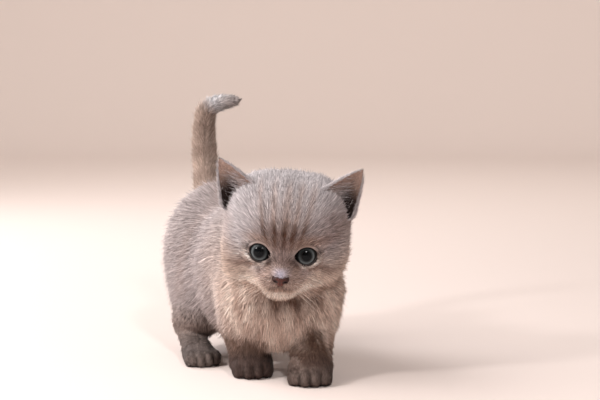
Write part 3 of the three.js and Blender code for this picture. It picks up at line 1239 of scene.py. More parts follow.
def tube(middle: Array, radii: Array, sides: int, closed: bool = False) -> tuple[Array, Array]:
    """A round tube: each ring lies across the line, a radius out from it.

    Args:
        middle: points along its middle.
        radii: the radius at each.
        sides: corners in a ring.
        closed: whether the last ring joins the first.

    Returns:
        Corners and quads.
    """
    if closed:
        heading = unit(np.roll(middle, -1, 0) - np.roll(middle, 1, 0))
    else:
        heading = unit(np.gradient(middle, axis=0))
    hint = np.where(np.abs(heading[:, 2:]) < 0.9, (0.0, 0.0, 1.0), (1.0, 0.0, 0.0))
    across = unit(np.cross(heading, hint))
    over = np.cross(heading, across)
    angle = circle(sides)
    ring = across[:, None] * np.cos(angle)[:, None] + over[:, None] * np.sin(angle)[:, None]
    points = (middle[:, None] + ring * np.asarray(radii)[:, None, None]).reshape(-1, 3)
    faces = lathe_grid(len(middle), sides)
    if closed:
        last = (len(middle) - 1) * sides
        turned = lathe_grid(2, sides)
        faces = np.vstack([faces, np.where(turned < sides, turned + last, turned - sides)])
    return points, faces


# Markings


class Shade:
    """Linear colours of the coat and bare parts; some also serve as painted shade where they are used."""

    BODY: Vec = (0.35, 0.3, 0.295)
    GREY_CREAM: Vec = (0.44, 0.405, 0.415)
    WARM: Vec = (0.55, 0.425, 0.355)
    BEIGE: Vec = (0.67, 0.51, 0.43)
    BROWN: Vec = (0.31, 0.205, 0.16)
    RUST: Vec = (0.185, 0.105, 0.082)
    STREAK: Vec = (0.085, 0.038, 0.024)
    PALE: Vec = (0.74, 0.61, 0.53)
    EAR_RIM: Vec = (0.5, 0.455, 0.465)
    LILAC: Vec = (0.5, 0.465, 0.55)
    LOWER_LID: Vec = (0.88, 0.78, 0.72)
    MUZZLE: Vec = (0.37, 0.27, 0.23)
    BRIDGE: Vec = (0.17, 0.112, 0.1)
    ASH: Vec = (0.36, 0.315, 0.325)
    MARK: Vec = (0.03, 0.015, 0.013)
    LEG: Vec = (0.115, 0.064, 0.044)
    SHANK: Vec = (0.19, 0.145, 0.13)
    PAW: Vec = (0.08, 0.052, 0.044)
    HIND_PAW: Vec = (0.125, 0.098, 0.09)
    TOE: Vec = (0.26, 0.2, 0.175)
    GROOVE: Vec = (0.035, 0.022, 0.018)
    TIP: Vec = (0.52, 0.51, 0.53)
    TAIL: Vec = (0.42, 0.315, 0.26)
    EAR_INSIDE: Vec = (0.36, 0.24, 0.195)
    EAR_DEEP: Vec = (0.012, 0.005, 0.004)
    NOSE: Vec = (0.05, 0.013, 0.01)
    NOSTRIL: Vec = (0.018, 0.009, 0.008)
    LID: Vec = (0.016, 0.011, 0.01)
    LIP: Vec = (0.17, 0.045, 0.03)


def flood(shade: Vec, count: int) -> Array:
    """One colour in every row."""
    return np.tile(np.array(shade), (count, 1))


@dataclass
class Paint:
    """Colours at points, painted over one another."""

    colour: Array

    def over(self, shade: Vec, amount: Array) -> None:
        """Mixes a colour in by an amount from 0 to 1."""
        share = np.clip(amount, 0.0, 1.0)[:, None]
        self.colour = self.colour * (1.0 - share) + np.array(shade) * share


class Pattern:
    """Markings over some places, each seen where its steps and bells multiply up to more than nothing."""

    def __init__(self, paint: Paint, places: Array) -> None:
        """Takes the colours so far and the places, in millimetres in the pattern's own axes."""
        self.over = paint.over
        self.places = places


class BodyPattern(Pattern):
    """Trunk, legs and tail, in the kitten's axes."""

    def trunk(self) -> None:
        """Warm chest and belly, faint bands over the flanks, and a painted shadow on the throat under the
        chin.
        """
        over, points = self.over, self.places
        x, y, z = points.T
        front = ease(22, -8, y)
        over(Shade.BEIGE, front * ease(76, 52, z) * 0.85)
        over(Shade.WARM, ease(52, 20, y) * bump(z, 58, 26) * 0.35)
        locks = ripples(points * np.array([1.0, 0.35, 0.16]), 4.2, SEED + 4, 2)
        breast = front * ease(12, 24, z) * ease(62, 52, z)
        over(Shade.BROWN, breast * 0.8 * locks)
        over(Shade.PALE, breast * ease(0.0, 0.8, -locks) * 0.6)
        # painted shadow under the chin, dark over the throat
        throat = front * bump(z, 45, 7) * ease(22, 8, np.abs(x + 5))
        over(Shade.STREAK, throat * (0.78 + 0.4 * locks))
        over(Shade.WARM, ease(34, 14, z) * ease(0, 20, y) * 0.7)
        bands = ease(0.35, 1.0, np.sin(y / 8.5 + ripples(points, 40, SEED + 1) * 1.2))
        over(Shade.BROWN, bands * ease(15, 32, y) * ease(20, 40, z) * 0.16)
        spine = bump(x + 1, 0, 7) * ease(80, 92, z) * ease(10, 30, y)
        over(Shade.BROWN, spine * 0.22)

    def legs(self) -> None:
        """Darker towards the paws, with painted shade in the grooves between the toes, over the fore right
        paw and just above the floor.
        """
        over, points = self.over, self.places
        x, y, z = points.T
        fore = ease(34, 24, y)
        middle = np.where(x > 0, 8.0, -15.0)
        start = np.where(x > 0, 36.0, 31.0) - 14 * ease(3, 12, x - middle + 2)
        inner = ease(9, 2, np.abs(x + 1)) * ease(14, 24, z)
        blotch = ripples(points * np.array([1.0, 1.0, 0.3]), 5.0, SEED + 8, 2)
        amount = ease(start + 5, start - 14, z + 5 * blotch)
        over(Shade.LEG, fore * amount * (1 - inner) * np.where(x > 0, 0.98, 0.85))
        over(Shade.SHANK, (1 - fore) * ease(38, 22, z) * ease(9, 15, np.abs(x + 1)) * 0.8)
        for shade, share in ((Shade.PAW, fore), (Shade.HIND_PAW, 1 - fore)):
            over(shade, share * ease(22, 7, z) * 0.9)
        rings = ease(0.2, 0.9, np.sin(z / 2.6 + ripples(points, 20, SEED + 2)))
        over(Shade.STREAK, rings * ease(13, 20, z) * ease(42, 30, z) * 0.16)
        for paw in PAWS.values():
            local = paw.axes.inward(points) / paw.size
            ahead, height = local[:, 1], local[:, 2]
            near = ease(17, 13, np.hypot(local[:, 0], ahead - 2)) * ease(13, 10, height)
            toes = near * ease(5, 11, ahead) * bump(height, 5.0, 4.5)
            over(Shade.TOE, toes * paw.pale)
            # painted shade over the whole paw, by paw.shade
            over(Shade.MARK, near * paw.shade)
            # painted shade in the grooves between the toes
            over(Shade.GROOVE, near * paw.toe_line(points) * 0.95)
        # painted shadow where the paws meet the floor
        over(Shade.MARK, ease(1.6, 0.4, z) * 0.6)

    def tail(self) -> None:
        """Warm brown with faint rings, and a pale tip."""
        over, points = self.over, self.places
        behind = ease(100, 112, points[:, 1]) * ease(84, 96, points[:, 2])
        where = np.nonzero(behind > 0)[0]
        along = np.zeros(len(points))
        along[where] = Tail().lie(points[where])[1]
        rings = ease(0.0, 0.9, np.sin(along * 34))
        over(Shade.TAIL, behind * 0.85)
        over(Shade.STREAK, behind * rings * 0.16)
        over(Shade.TIP, behind * ease(0.72, 0.86, along) * 0.95)


class FacePattern(Pattern):
    """The head, in its own axes. The kitten's left is at x > 0."""

    def _fade(self) -> Array:
        """How the streaks' ends wander."""
        return ripples(self.places, 7.0, SEED + 3, 2)

    def forehead(self) -> None:
        """The head's ground, the brown streaks that fan out over the forehead, the brows, and painted shade
        over the left side of the head.
        """
        over = self.over
        x, y, z = self.places.T
        side, front, fade = np.abs(x), ease(-4, 10, y), self._fade()
        over(Shade.GREY_CREAM, np.ones(len(x)))
        over(Shade.WARM, ease(6, -14, z) * 0.9)
        over(Shade.PALE, ease(-12, -22, z) * ease(6, 18, y) * 0.3)
        patch = front * bump(x / (9.0 + 0.25 * np.maximum(z, 0)), 0, 1.0) * ease(-1, 5, z)
        over(Shade.BROWN, patch * ease(32, 14, z) * 0.45)
        over(Shade.RUST, patch * ease(19, 11, z + fade * 3) * 0.62)
        fan = x / (z + 22.0) + fade * 0.012
        streaks = ((0.015, 0.04), (0.14, 0.034), (-0.13, 0.034), (0.27, 0.036), (-0.28, 0.03))
        stripes = front * sum(bump(fan, middle, width) for middle, width in streaks)
        low = 4.5 + side * 0.1
        ends = ease(low - 3, low + 2.0, z) * ease(21, 13, z + fade * 3)
        over(Shade.STREAK, stripes * ends * (1.0 + 0.3 * fade))
        over(Shade.BROWN, stripes * ease(12, 18, z) * ease(40, 28, z) * 0.4)
        over(Shade.BROWN, bump(side, 12.5, 6) * bump(z, 7.6, 3.0) * front * 0.6)
        over(Shade.RUST, bump(x, 13, 6) * bump(z, 6.5, 3.5) * front * 0.6)
        # painted shade on the left side of the head only
        over(Shade.RUST, bump(x, 23, 8) * bump(z, 11, 10) * (0.65 + 0.3 * fade))

    def round_eyes(self) -> None:
        """Brown below the eyes, made darker on the left with painted shade, a pale lower lid, and the dark
        inner corners.
        """
        over = self.over
        x, y, z = self.places.T
        side, left = np.abs(x), x > 0
        eye, reach = EyeAxes.beside(self.places)
        near = ease(2, 4, eye[:, 2])
        under = ease(2.0, -5.0, eye[:, 1])
        ring = near * ease(9, 2.5, reach)
        over(Shade.BROWN, ring * (0.3 + 0.4 * under))
        # the extra on the left is painted shade
        over(Shade.RUST, ring * under * (0.7 + 0.5 * left))
        # painted shade below the left eye only
        over(Shade.BRIDGE, near * ease(10, 3, reach) * under * left * 0.45)
        over(Shade.LOWER_LID, near * bump(reach, 1.6, 1.2) * (0.1 + 0.9 * under))
        beside = bump(side, 5.0, 2.0) * bump(z, -5.0, 4.0) * ease(17, 21, y)
        # the extra on the left is painted shade
        over(Shade.BRIDGE, beside * (0.5 + 0.4 * left))
        over(Shade.BRIDGE, bump(x, 0, 5.5) * bump(z, -1.0, 5.5) * ease(16, 20, y) * 0.9)
        over(Shade.MARK, near * bump(eye[:, 0], -7.2, 2.2) * bump(eye[:, 1], -3.2, 3.0))

    def cheeks(self) -> None:
        """Ashy beside the nose, the dark tear line, wider and lower on the left with painted shade, the
        dash behind the eye and the cheek's streak.
        """
        over = self.over
        x, y, z = self.places.T
        side, left = np.abs(x), x > 0
        ash = bump(side, 7.5, 6.0) * bump(z, -10.0, 4.5) * ease(14, 18, y)
        over(Shade.ASH, ash * 0.9)
        # the tear line's extra width and drop on the left is painted shade
        tear = bump(side - 0.35 * (z + 6.6), 5.8 + 0.6 * left, 1.8 + 0.8 * left)
        tear = tear * bump(z, -6.8 - 0.6 * left, 3.0) * ease(15, 19, y)
        over(Shade.MARK, tear * 2.2)
        dash = bump(z - 0.1 * (side - 17), 0.8, 1.8) * ease(15.8, 17.2, side) * ease(22, 18, side)
        over(Shade.MARK, dash * ease(2, 8, y) * 0.8)
        streak = bump(z + 0.25 * (side - 18), -7.5 + self._fade(), 2.0)
        over(Shade.RUST, streak * ease(9, 14, side) * ease(31, 22, side) * 0.6)
        over(Shade.BROWN, ease(22, 30, side) * ease(-16, 0, z) * ease(18, 8, z) * 0.35)

    def muzzle(self) -> None:
        """Darker muzzle, pale blaze down to the nose, rows of whisker spots, the chin's pale edge and
        painted shade under the chin.
        """
        over = self.over
        x, y, z = self.places.T
        side = np.abs(x)
        nose = np.linalg.norm(self.places - np.array((0, 27, -12.5)), axis=1)
        over(Shade.MUZZLE, ease(15, 8, nose) * ease(-2, -8, z) * 0.85)
        blaze = bump(x / (1.9 + 0.16 * np.maximum(-z, 0)), 0, 1.0) * ease(19, 23, y)
        over(Shade.LILAC, blaze * ease(-3.5, -7.0, z) * ease(-12, -9, z))
        rows = ease(0.2, 0.9, np.cos((z + 13.0 + 0.1 * side) * math.pi))
        over(Shade.RUST, rows * bump(side, 8.5, 4.5) * bump(z, -13.0, 3.0) * ease(18, 23, y) * 0.6)
        edge = -17.0 - 4.5 * ease(16, 4, side)
        pale = ease(edge + 3.5, edge + 1.0, z) * ease(6, 14, y) * ease(23, 15, side)
        over(Shade.PALE, pale * 0.7)
        # painted shade under the chin
        over(Shade.BROWN, ease(edge - 2.0, edge - 4.0, z) * ease(26, 18, side) * 0.9)

    def mouth(self) -> None:
        """The groove under the nose, the lips' dark line and the shade under it."""
        over = self.over
        x, y, z = self.places.T
        side = np.abs(x)
        lips, below = ease(24, 27, y), ease(21, 24, y)
        groove = bump(x, 0, 0.8) * ease(MOUTH - 0.6, MOUTH, z) * ease(-12.0, -13.0, z)
        over(Shade.LIP, groove * lips * 0.9)
        over(Shade.MARK, bump(x, 0, 1.3) * bump(z, MOUTH, 1.1) * lips * 0.8)
        over(Shade.MARK, bump(z, lip_line(side), 0.9) * ease(9.5, 3.0, side) * below * 0.7)
        over(Shade.BROWN, bump(z, MOUTH - 3.0, 1.2) * bump(side, 0, 7) * below * 0.6)


class Markings:
    """The coat's pattern, the same for the skin and for the hair that grows on it."""

    def colour(self, points: Array) -> Array:
        """Linear colour at points on the body.

        Args:
            points: places in millimetres.

        Returns:
            A colour for each: the body's and the head's patterns, mixed over the neck.
        """
        paint = Paint(flood(Shade.BODY, len(points)))
        body = BodyPattern(paint, points)
        for mark in (body.trunk, body.legs, body.tail):
            mark()
        local = HEAD.inward(points)
        weight = ease(6.0, 0.0, Head().outline().distance(points)) * ease(-34, -24, local[:, 2])
        weight = weight * (0.15 + 0.85 * ease(-28, -6, local[:, 1]))
        dressed = Paint(paint.colour.copy())
        face = FacePattern(dressed, local)
        for mark in (face.forehead, face.round_eyes, face.cheeks, face.muzzle, face.mouth):
            mark()
        paint.colour = paint.colour * (1 - weight[:, None]) + dressed.colour * weight[:, None]
        cloud = 1.0 + 0.07 * ripples(points, 24.0, SEED, 3)
        return np.clip(paint.colour * cloud[:, None], 0.004, 0.95)


# The head's separate pieces


@dataclass(frozen=True)
class Eye:
    """One eyeball with its cornea, and the rim of the lids round it."""

    side: Side
    rings: int = 56
    columns: int = 72
    cornea: float = 0.55  # height of the cornea's bulge, in millimetres
    cornea_radius: float = 5.6
    rim: float = 0.82  # radius of the lids' rim
    rim_out: float = 0.32  # how far its middle lies outside the almond
    rim_steps: int = 72
    rim_sides: int = 10

    def _world(self, local: Array) -> Array:
        """Points of the left eye's axes as points of the kitten, on this eye's side."""
        head = EyeAxes.axes.outward(local) * self.side.mirror
        return HEAD.outward(head)

    def ball(self, finish: Material) -> None:
        """The eyeball: a sphere about the gaze, with a cosine bulge over the iris, carrying a painted
        shadow of the upper lid as shade.

        Args:
            finish: the eye's material.
        """
        angle = np.linspace(0.004, math.pi * 0.8, self.rings)
        turns = circle(self.columns)
        away, around = np.meshgrid(angle, turns, indexing="ij")
        flat = EYE_RADIUS * np.sin(away)
        bulge = self.cornea * (np.cos(np.clip(flat / self.cornea_radius, 0, 1) * math.pi) + 1) / 2
        reach = EYE_RADIUS + np.where(away < math.pi / 2, bulge, 0.0)
        outward, upward = np.sin(away) * np.cos(around), np.sin(away) * np.sin(around)
        points = np.stack([reach * outward, reach * upward, reach * np.cos(away)], -1).reshape(-1, 3)
        faces = lathe_grid(self.rings, self.columns)
        ring = (EYE_RADIUS * np.sin(np.minimum(away, math.pi / 2))).ravel()
        ray = np.stack([np.cos(around) * 0.9, np.sin(around) * 0.9, away * 1.1], -1).reshape(-1, 3)
        # painted shadow of the upper lid: shade darkens the iris towards the top
        shade = 0.25 + 0.85 * ease(4.0, -2.0, points[:, 1] - 0.5 * points[:, 0])
        values = {"ring": ring, "ray": ray, "shade": shade}
        shell = Shell(f"eye_{self.side.label}", self._world(points), faces, values=values)
        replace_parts(shell.turned_out().make(finish, "eye"), f"eye_{self.side.label}")

    def lids(self, finish: Material) -> None:
        """The dark rim: a tube along the almond, lying on the ball, thicker above.

        Args:
            finish: the leather.
        """
        angle = circle(self.rim_steps)
        radius = almond((angle + math.pi) % (2 * math.pi) - math.pi) + self.rim_out
        flat = np.column_stack([radius * np.cos(angle), radius * np.sin(angle)])
        rise = np.sqrt(np.maximum(EYE_RADIUS**2 - (flat**2).sum(1), 4.0)) + 0.1
        middle = np.column_stack([flat, rise])
        thick = self.rim * (1.0 + 0.16 * np.sin(angle))
        points, faces = tube(middle, thick, self.rim_sides, closed=True)
        shade = flood(Shade.LID, len(points))
        shell = Shell(f"lids_{self.side.label}", self._world(points), faces, shade)
        shell.turned_out().make(finish, "nose_leather")


@dataclass(frozen=True)
class Nose:
    """The nose leather: broad above, narrow below, with comma nostrils and a groove."""

    pad: Ellipsoid = Ellipsoid((0, 29.7, -10.2), (4.1, 3.2, 2.5))
    foot: Ellipsoid = Ellipsoid((0, 30.2, -12.2), (2.1, 2.6, 2.5))
    wing: Ellipsoid = Ellipsoid((2.75, 29.6, -11.2), (1.9, 2.7, 1.7))
    nostril: Taper = Taper((1.75, 33.0, -11.5), (3.0, 31.6, -11.2), 0.62, 0.5)
    slit: Taper = Taper((3.0, 31.6, -11.2), (4.4, 30.4, -12.2), 0.42, 0.2)
    groove: Taper = Taper((0, 33.2, -10.9), (0, 32.4, -14.6), 0.3, 0.35)
    step: float = 0.24

    def mass(self) -> Mass:
        """The nose in the head's own axes."""
        body = joined(self.pad, (self.foot, 1.6), (BothSides(self.wing), 1.0))
        cuts = ((BothSides(self.nostril), 0.35), (BothSides(self.slit), 0.3), (self.groove, 0.4))
        return Carved(body, cuts)

    def build(self, finish: Material) -> None:
        """The finished nose, with painted shade in its nostrils and groove.

        Args:
            finish: the leather.
        """
        room = Box((-6.5, 25.5, -15.8), (6.5, 34.2, -6.4), self.step)
        points, faces = SurfaceNets(room).build(self.mass())
        paint = Paint(flood(Shade.NOSE, len(points)))
        x, y, z = points.T
        paint.over(Shade.LIP, ease(2.4, 0.6, np.abs(x)) * ease(-9.0, -12.0, z) * 0.55)
        paint.over(Shade.NOSTRIL, ease(1.8, 3.4, np.abs(x)) * ease(-12.6, -10.2, z) * 0.6)
        paint.over(Shade.LILAC, ease(-9.0, -8.0, z) * 0.15)
        hollow = np.minimum(BothSides(self.nostril).distance(points), BothSides(self.slit).distance(points))
        # painted shade in the nostrils' hollows
        paint.over(Shade.NOSTRIL, ease(0.45, 0.02, hollow))
        # painted shade along the groove
        paint.over(Shade.NOSTRIL, ease(0.4, 0.05, self.groove.distance(points)) * 0.6)
        shell = Shell("nose", HEAD.outward(points), faces, paint.colour)
        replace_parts(shell.turned_out().make(finish, "nose_leather"), "nose")


@dataclass(frozen=True)
class Ear:
    """One ear: a cupped leaf, thin at the rim, sunk in the crown."""

    side: Side
    thickness: float = 1.3
    cup: float = 4.5  # depth of the hollow
    root: float = 6.0  # how far the leaf goes into the head
    point: float = 0.78  # below 1, the sides bow outwards
    rows: int = 40
    columns: int = 26

    def frame(self) -> tuple[Array, Array, Array, Array, float, float]:
        """Works out the leaf's directions in the head's axes.

        Returns:
            Base, rise, across and front, with the height and the width.
        """
        inner, outer, tip = (np.array(p) for p in (EAR_INNER, EAR_OUTER, EAR_TIP))
        base = (inner + outer) / 2
        rise = tip - base
        height = float(np.linalg.norm(rise))
        rise = rise / height
        across = outer - inner
        across = across - (across @ rise) * rise
        width = float(np.linalg.norm(across))
        across = across / width
        front = np.cross(across, rise)
        return base, rise, across, front * np.sign(front[1]), height, width

    def place(self, across: Array, up: Array, face: float) -> Array:
        """Points of the leaf.

        Args:
            across: -1 at the inner edge to 1 at the outer one.
            up: height over the full height; below 0 it is in the head.
            face: 1 for the hollow front and -1 for the back.

        Returns:
            Points of the kitten: the base, plus the rise, plus the half width at that height, less the
            cup (one less across squared), plus half the thickness towards the face.
        """
        base, rise, side, front, height, width = self.frame()
        left = np.clip(1.0 - up, 0.0, 1.0)
        half = width / 2 * left**self.point * (1 - 0.2 * ease(0.1, -0.25, up))
        cup = self.cup * (1 - across**2) * left
        thin = self.thickness / 2 * (1 - np.abs(across) ** 4) * np.minimum(1.0, left * 6)
        points = (
            base + rise * (up * height)[:, None] + side * (half * across)[:, None]
            + front * (face * thin - cup)[:, None]
        )
        return HEAD.outward(points * self.side.mirror)

    @staticmethod
    def colour(across: Array, up: Array, face: Array) -> Array:
        """Brown within, with painted shade low in the hollow, pale at the rim and behind.

        Args:
            across: place across, from -1 to 1.
            up: place up, from 0 to 1.
            face: 1 on the hollow front, -1 on the back.

        Returns:
            Linear colours.
        """
        paint = Paint(flood(Shade.GREY_CREAM, len(across)))
        within = ease(0.0, 0.5, face)
        paint.over(Shade.EAR_INSIDE, within * ease(1.0, 0.93, np.abs(across)) * 0.95)
        # painted shade low in the hollow
        paint.over(Shade.EAR_DEEP, within * ease(0.8, 0.25, up) * ease(-1.0, -0.1, across))
        paint.over(Shade.EAR_RIM, ease(0.92, 0.99, np.abs(across)) * 0.8)
        return paint.colour

    def build(self, finish: Material) -> None:
        """The bare leaf.

        Args:
            finish: the ear's skin.
        """
        ring = circle(2 * self.columns)
        bottom = -self.root / self.frame()[4]
        rows = np.concatenate([np.linspace(bottom, 0.9, self.rows), [0.95, 0.98, 0.995]])
        across = np.tile(np.cos(ring), len(rows))
        facing = np.tile(np.sin(ring), len(rows))
        up = np.repeat(rows, len(ring))
        front, back = self.place(across, up, 1.0), self.place(across, up, -1.0)
        points = (front + back) / 2 + (front - back) / 2 * facing[:, None]
        faces = lathe_grid(len(rows), len(ring))
        shell = Shell(f"ear_{self.side.label}", points, faces, self.colour(across, up, facing))
        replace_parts(shell.turned_out().make(finish, "ear_skin"), f"ear_{self.side.label}")


@dataclass(frozen=True)
class Whiskers:
    """Long tapering hairs from the pads and over the eyes."""

    rows: int = 3
    in_row: int = 4
    in_brow: int = 3
    length: tuple[float, float] = (14.0, 21.0)
    brow_length: tuple[float, float] = (9.0, 13.0)
    thickness: float = 0.07
    steps: int = 9
    scatter: float = 0.08  # how much the headings differ
    droop: tuple[float, float] = (0.04, 0.16)

    def _hair(self, root: Array, heading: Array, length: float, droop: float) -> tuple[Array, Array]:
        """One hair, straight less a droop that grows as the square of the way along.

        Args:
            root: where it starts.
            heading: its unit direction.
            length: in millimetres.
            droop: how far the tip sinks, over the length.

        Returns:
            Corners and quads.
        """
        t = np.linspace(-0.02, 1, self.steps)[:, None]
        middle = root + heading * (t * length) + np.array(DOWN) * (droop * t**2 * length)
        radii = self.thickness * np.linspace(1.0, 0.25, self.steps)
        return tube(middle, radii, 4)

    def build(self, finish: Material, rng: np.random.Generator) -> None:
        """All of them as one piece.

        Args:
            finish: the hair.
            rng: the source of scatter.
        """
        points, faces, start = [], [], 0
        for side in Side:
            hairs = [
                (
                    (5.6 + 0.8 * column, 29.3 - 1.5 * column, -13.4 - 1.5 * row),
                    (1.0, 0.85 - 0.15 * column, 0.1 - 0.2 * row),
                    rng.uniform(*self.length),
                )
                for row, column in product(range(self.rows), range(self.in_row))
            ]
            hairs += [
                (
                    (8.5 + 1.6 * column, 23.5 - 0.6 * column, 6.8),
                    (0.3 + 0.25 * column, 0.6, 1.0),
                    rng.uniform(*self.brow_length),
                )
                for column in range(self.in_brow)
            ]
            for place, aim, length in hairs:
                root = HEAD.outward(np.array(place) * side.mirror)
                heading = HEAD.heading(unit((np.array(aim) + rng.normal(0, self.scatter, 3)) * side.mirror))
                corners, quads = self._hair(root, heading, length, rng.uniform(*self.droop))
                points.append(corners)
                faces.append(quads + start)
                start += len(corners)
        corners = np.vstack(points)
        shell = Shell("whiskers", corners, np.vstack(faces), flood(Shade.PALE, len(corners)))
        shell.turned_out().make(finish, "face_coat")


# Coat


@dataclass
class Roots:
    """Where hairs grow: arrays with one row for each."""

    points: Array
    normals: Array
    flow: Array  # the way the hair lies, along the skin
    length: Array
    rise: Array  # height of the tip over the skin, as a share of the length
    width: Array  # half the thickness of the lock, in millimetres
    unwrap: Array  # place on the skin's unwrap, from 0 to 1

    def __len__(self) -> int:
        """How many hairs."""
        return len(self.points)

    def kept(self, which: Array) -> Roots:
        """Those that a mask or a list of numbers picks."""
        return Roots(**{key: value[which] for key, value in vars(self).items()})


@dataclass(frozen=True)
class Lock:
    """A tuft's solid: a spindle of three sides from a sunk root through one ring to the tip."""

    belly: float = 0.36  # how far along the ring lies
    lift: float = 0.12  # how much higher the ring rises than a straight line
    sunk: float = 0.35  # depth of the root in the skin, in millimetres
    clump: float = 0.3  # how far neighbours' tips draw together
    clump_cell: float = 2.6  # size of the cells whose tips draw together, in millimetres
    stray: float = 0.16  # sideways scatter of the tips, over the length
    soft: float = 0.6  # how much of the skin's normal is in the shading
    patch: float = 0.003  # size of a tuft's place on the unwrap
    tone: float = 0.24  # how much one tuft differs from the next
    floor_gap: float = 0.08  # least height over the floor, in millimetres

    def solid(self, name: str, roots: Roots, colour: Array, rng: np.random.Generator) -> Shell:
        """All of a piece's tufts.

        Args:
            name: the piece's name.
            roots: where they grow and how.
            colour: linear colour at each root.
            rng: the source of scatter.

        Returns:
            The tufts as one shell.
        """
        count = len(roots)
        flow, normal = roots.flow, roots.normals
        aside = np.cross(normal, flow)
        rise = np.clip(roots.rise, 0.03, 0.9)
        run = np.sqrt(1 - rise**2)
        length = roots.length * rng.uniform(0.78, 1.18, count)
        scatter = rng.normal(0, self.stray, count)
        reach = flow * run[:, None] + normal * rise[:, None] + aside * scatter[:, None]
        reach = reach * length[:, None]
        reach = self._clumped(roots.points, reach)
        base = roots.points - normal * self.sunk
        tip = roots.points + reach
        ring = roots.points + reach * self.belly + normal * (self.lift * length * self.belly)[:, None]
        heading = unit(reach)
        out = unit(np.cross(heading, np.cross(normal, heading)) + 1e-6)
        across = np.cross(heading, out)
        turned = rng.uniform(0, 2 * math.pi, count)[:, None] + np.array([0.0, 2.0, 4.0]) * math.pi / 3
        spokes = out[:, None] * np.cos(turned)[..., None] + across[:, None] * np.sin(turned)[..., None]
        corners = ring[:, None] + spokes * roots.width[:, None, None]
        points = np.concatenate([base[:, None], corners, tip[:, None]], axis=1)
        points[..., 2] = np.maximum(points[..., 2], self.floor_gap)
        shape = np.array([(0, 2, 1), (0, 3, 2), (0, 1, 3), (1, 2, 4), (2, 3, 4), (3, 1, 4)])
        faces = (shape[None] + 5 * np.arange(count)[:, None, None]).reshape(-1, 3)
        plain = unit(normal + 0.35 * out)
        shading = np.repeat(plain[:, None], 5, axis=1)
        shading[:, 1:4] = unit(plain[:, None] * self.soft + spokes * (1 - self.soft))
        tones = self._tones(colour, rng)
        return Shell(
            name, points.reshape(-1, 3), faces, tones.reshape(-1, 3), shading.reshape(-1, 3),
            self._patches(roots.unwrap),
        )

    def _clumped(self, points: Array, reach: Array) -> Array:
        """Draws each tip towards the mean tip of its cell.

        Args:
            points: roots.
            reach: from each root to its tip.

        Returns:
            The new reach.
        """
        cells = np.floor(points / self.clump_cell).astype(np.int64)
        _, member = np.unique(cells, axis=0, return_inverse=True)
        member = member.ravel()
        counts = np.bincount(member)[:, None]
        tips = points + reach
        mean = np.column_stack([np.bincount(member, tips[:, i]) for i in range(3)]) / counts
        pull = (mean[member] - tips) * self.clump
        along = unit(reach)
        return reach + pull - along * np.minimum(dot(pull, along), 0.0)[:, None] * 0.5

    def _tones(self, colour: Array, rng: np.random.Generator) -> Array:
        """Darker at the root with painted shade, paler at the tip, with each tuft a little different.

        Args:
            colour: linear colour of each tuft.
            rng: the source of scatter.

        Returns:
            A colour for each of a tuft's five corners.
        """
        tone = np.exp(rng.normal(0, self.tone, len(colour)))[:, None]
        # the root's 0.42 is painted shade from the hair lying over it
        steps = np.array([0.42, 0.88, 0.88, 0.88, 1.16])
        shades = colour[:, None] * tone[:, None] * steps[None, :, None]
        return np.clip(shades, 0.003, 0.95)

    def _patches(self, unwrap: Array) -> Array:
        """A small star for each tuft: root in the middle, ring round it, tip at the points.

        Args:
            unwrap: each tuft's place on the map, from 0 to 1.

        Returns:
            UV places, one for each face corner.
        """
        angle = np.array([90.0, 210.0, 330.0]) * math.pi / 180
        ring = np.column_stack([np.cos(angle), np.sin(angle)]) * self.patch * 0.25
        points = -np.roll(ring, -2, axis=0) * 2.0
        middle = np.zeros(2)
        star = [
            (middle, ring[1], ring[0]), (middle, ring[2], ring[1]), (middle, ring[0], ring[2]),
            (ring[0], ring[1], points[0]), (ring[1], ring[2], points[1]), (ring[2], ring[0], points[2]),
        ]
        shape = np.array(star).reshape(18, 2)
        place = 0.01 + 0.98 * np.clip(unwrap, 0, 1)
        return (place[:, None] + shape[None]).reshape(-1, 2)


def flat_to(vectors: Array, normals: Array) -> Array:
    """Vectors laid along the skin, as unit vectors."""
    return unit(vectors - dot(vectors, normals)[:, None] * normals)


@dataclass(frozen=True)
class Growth:
    """How one part's hair grows: how dense, how long beside the coat's depth, and how thick."""

    piece: str
    slot: str
    density: float  # tufts in a square millimetre
    stretch: float  # length over the coat's depth
    shortest: float  # least length, in millimetres
    width: float  # half the thickness of a lock
    guards: float = 0.0  # share of extra hairs that are longer and stand out
    sway: float = 0.28  # how much the lie wanders
    lock: Lock = Lock()


@dataclass(frozen=True)
class EarHair:
    """One kind of hair on the ears."""

    face: float  # 1 for the hollow front, -1 for the back
    count: int
    length: float
    rise: float
    width: float
    across: tuple[float, float]
    up: tuple[float, float]
    lean: float = 0.0  # how far it leans to the outer edge
    paleness: float = 8.0  # the lower, the more of it is pale
    edge: bool = False  # whether it grows from both edges, sideways


EAR_HAIRS = (
    EarHair(-1.0, 5600, 2.8, 0.35, 0.15, (-0.97, 0.97), (-0.05, 0.985)),
    EarHair(1.0, 3400, 2.2, 0.3, 0.13, (-0.95, 0.95), (-0.05, 0.96), paleness=30.0),
    EarHair(1.0, 330, 7.5, 0.32, 0.13, (-0.98, 0.0), (-0.12, 0.65), lean=0.9, paleness=1.0),
    EarHair(1.0, 110, 4.0, 0.45, 0.14, (-0.9, 0.0), (-0.15, 0.0), paleness=2.0),
    EarHair(-1.0, 1900, 3.5, 0.36, 0.1, (0.94, 1.0), (-0.1, 0.97), paleness=1.5, edge=True),
)


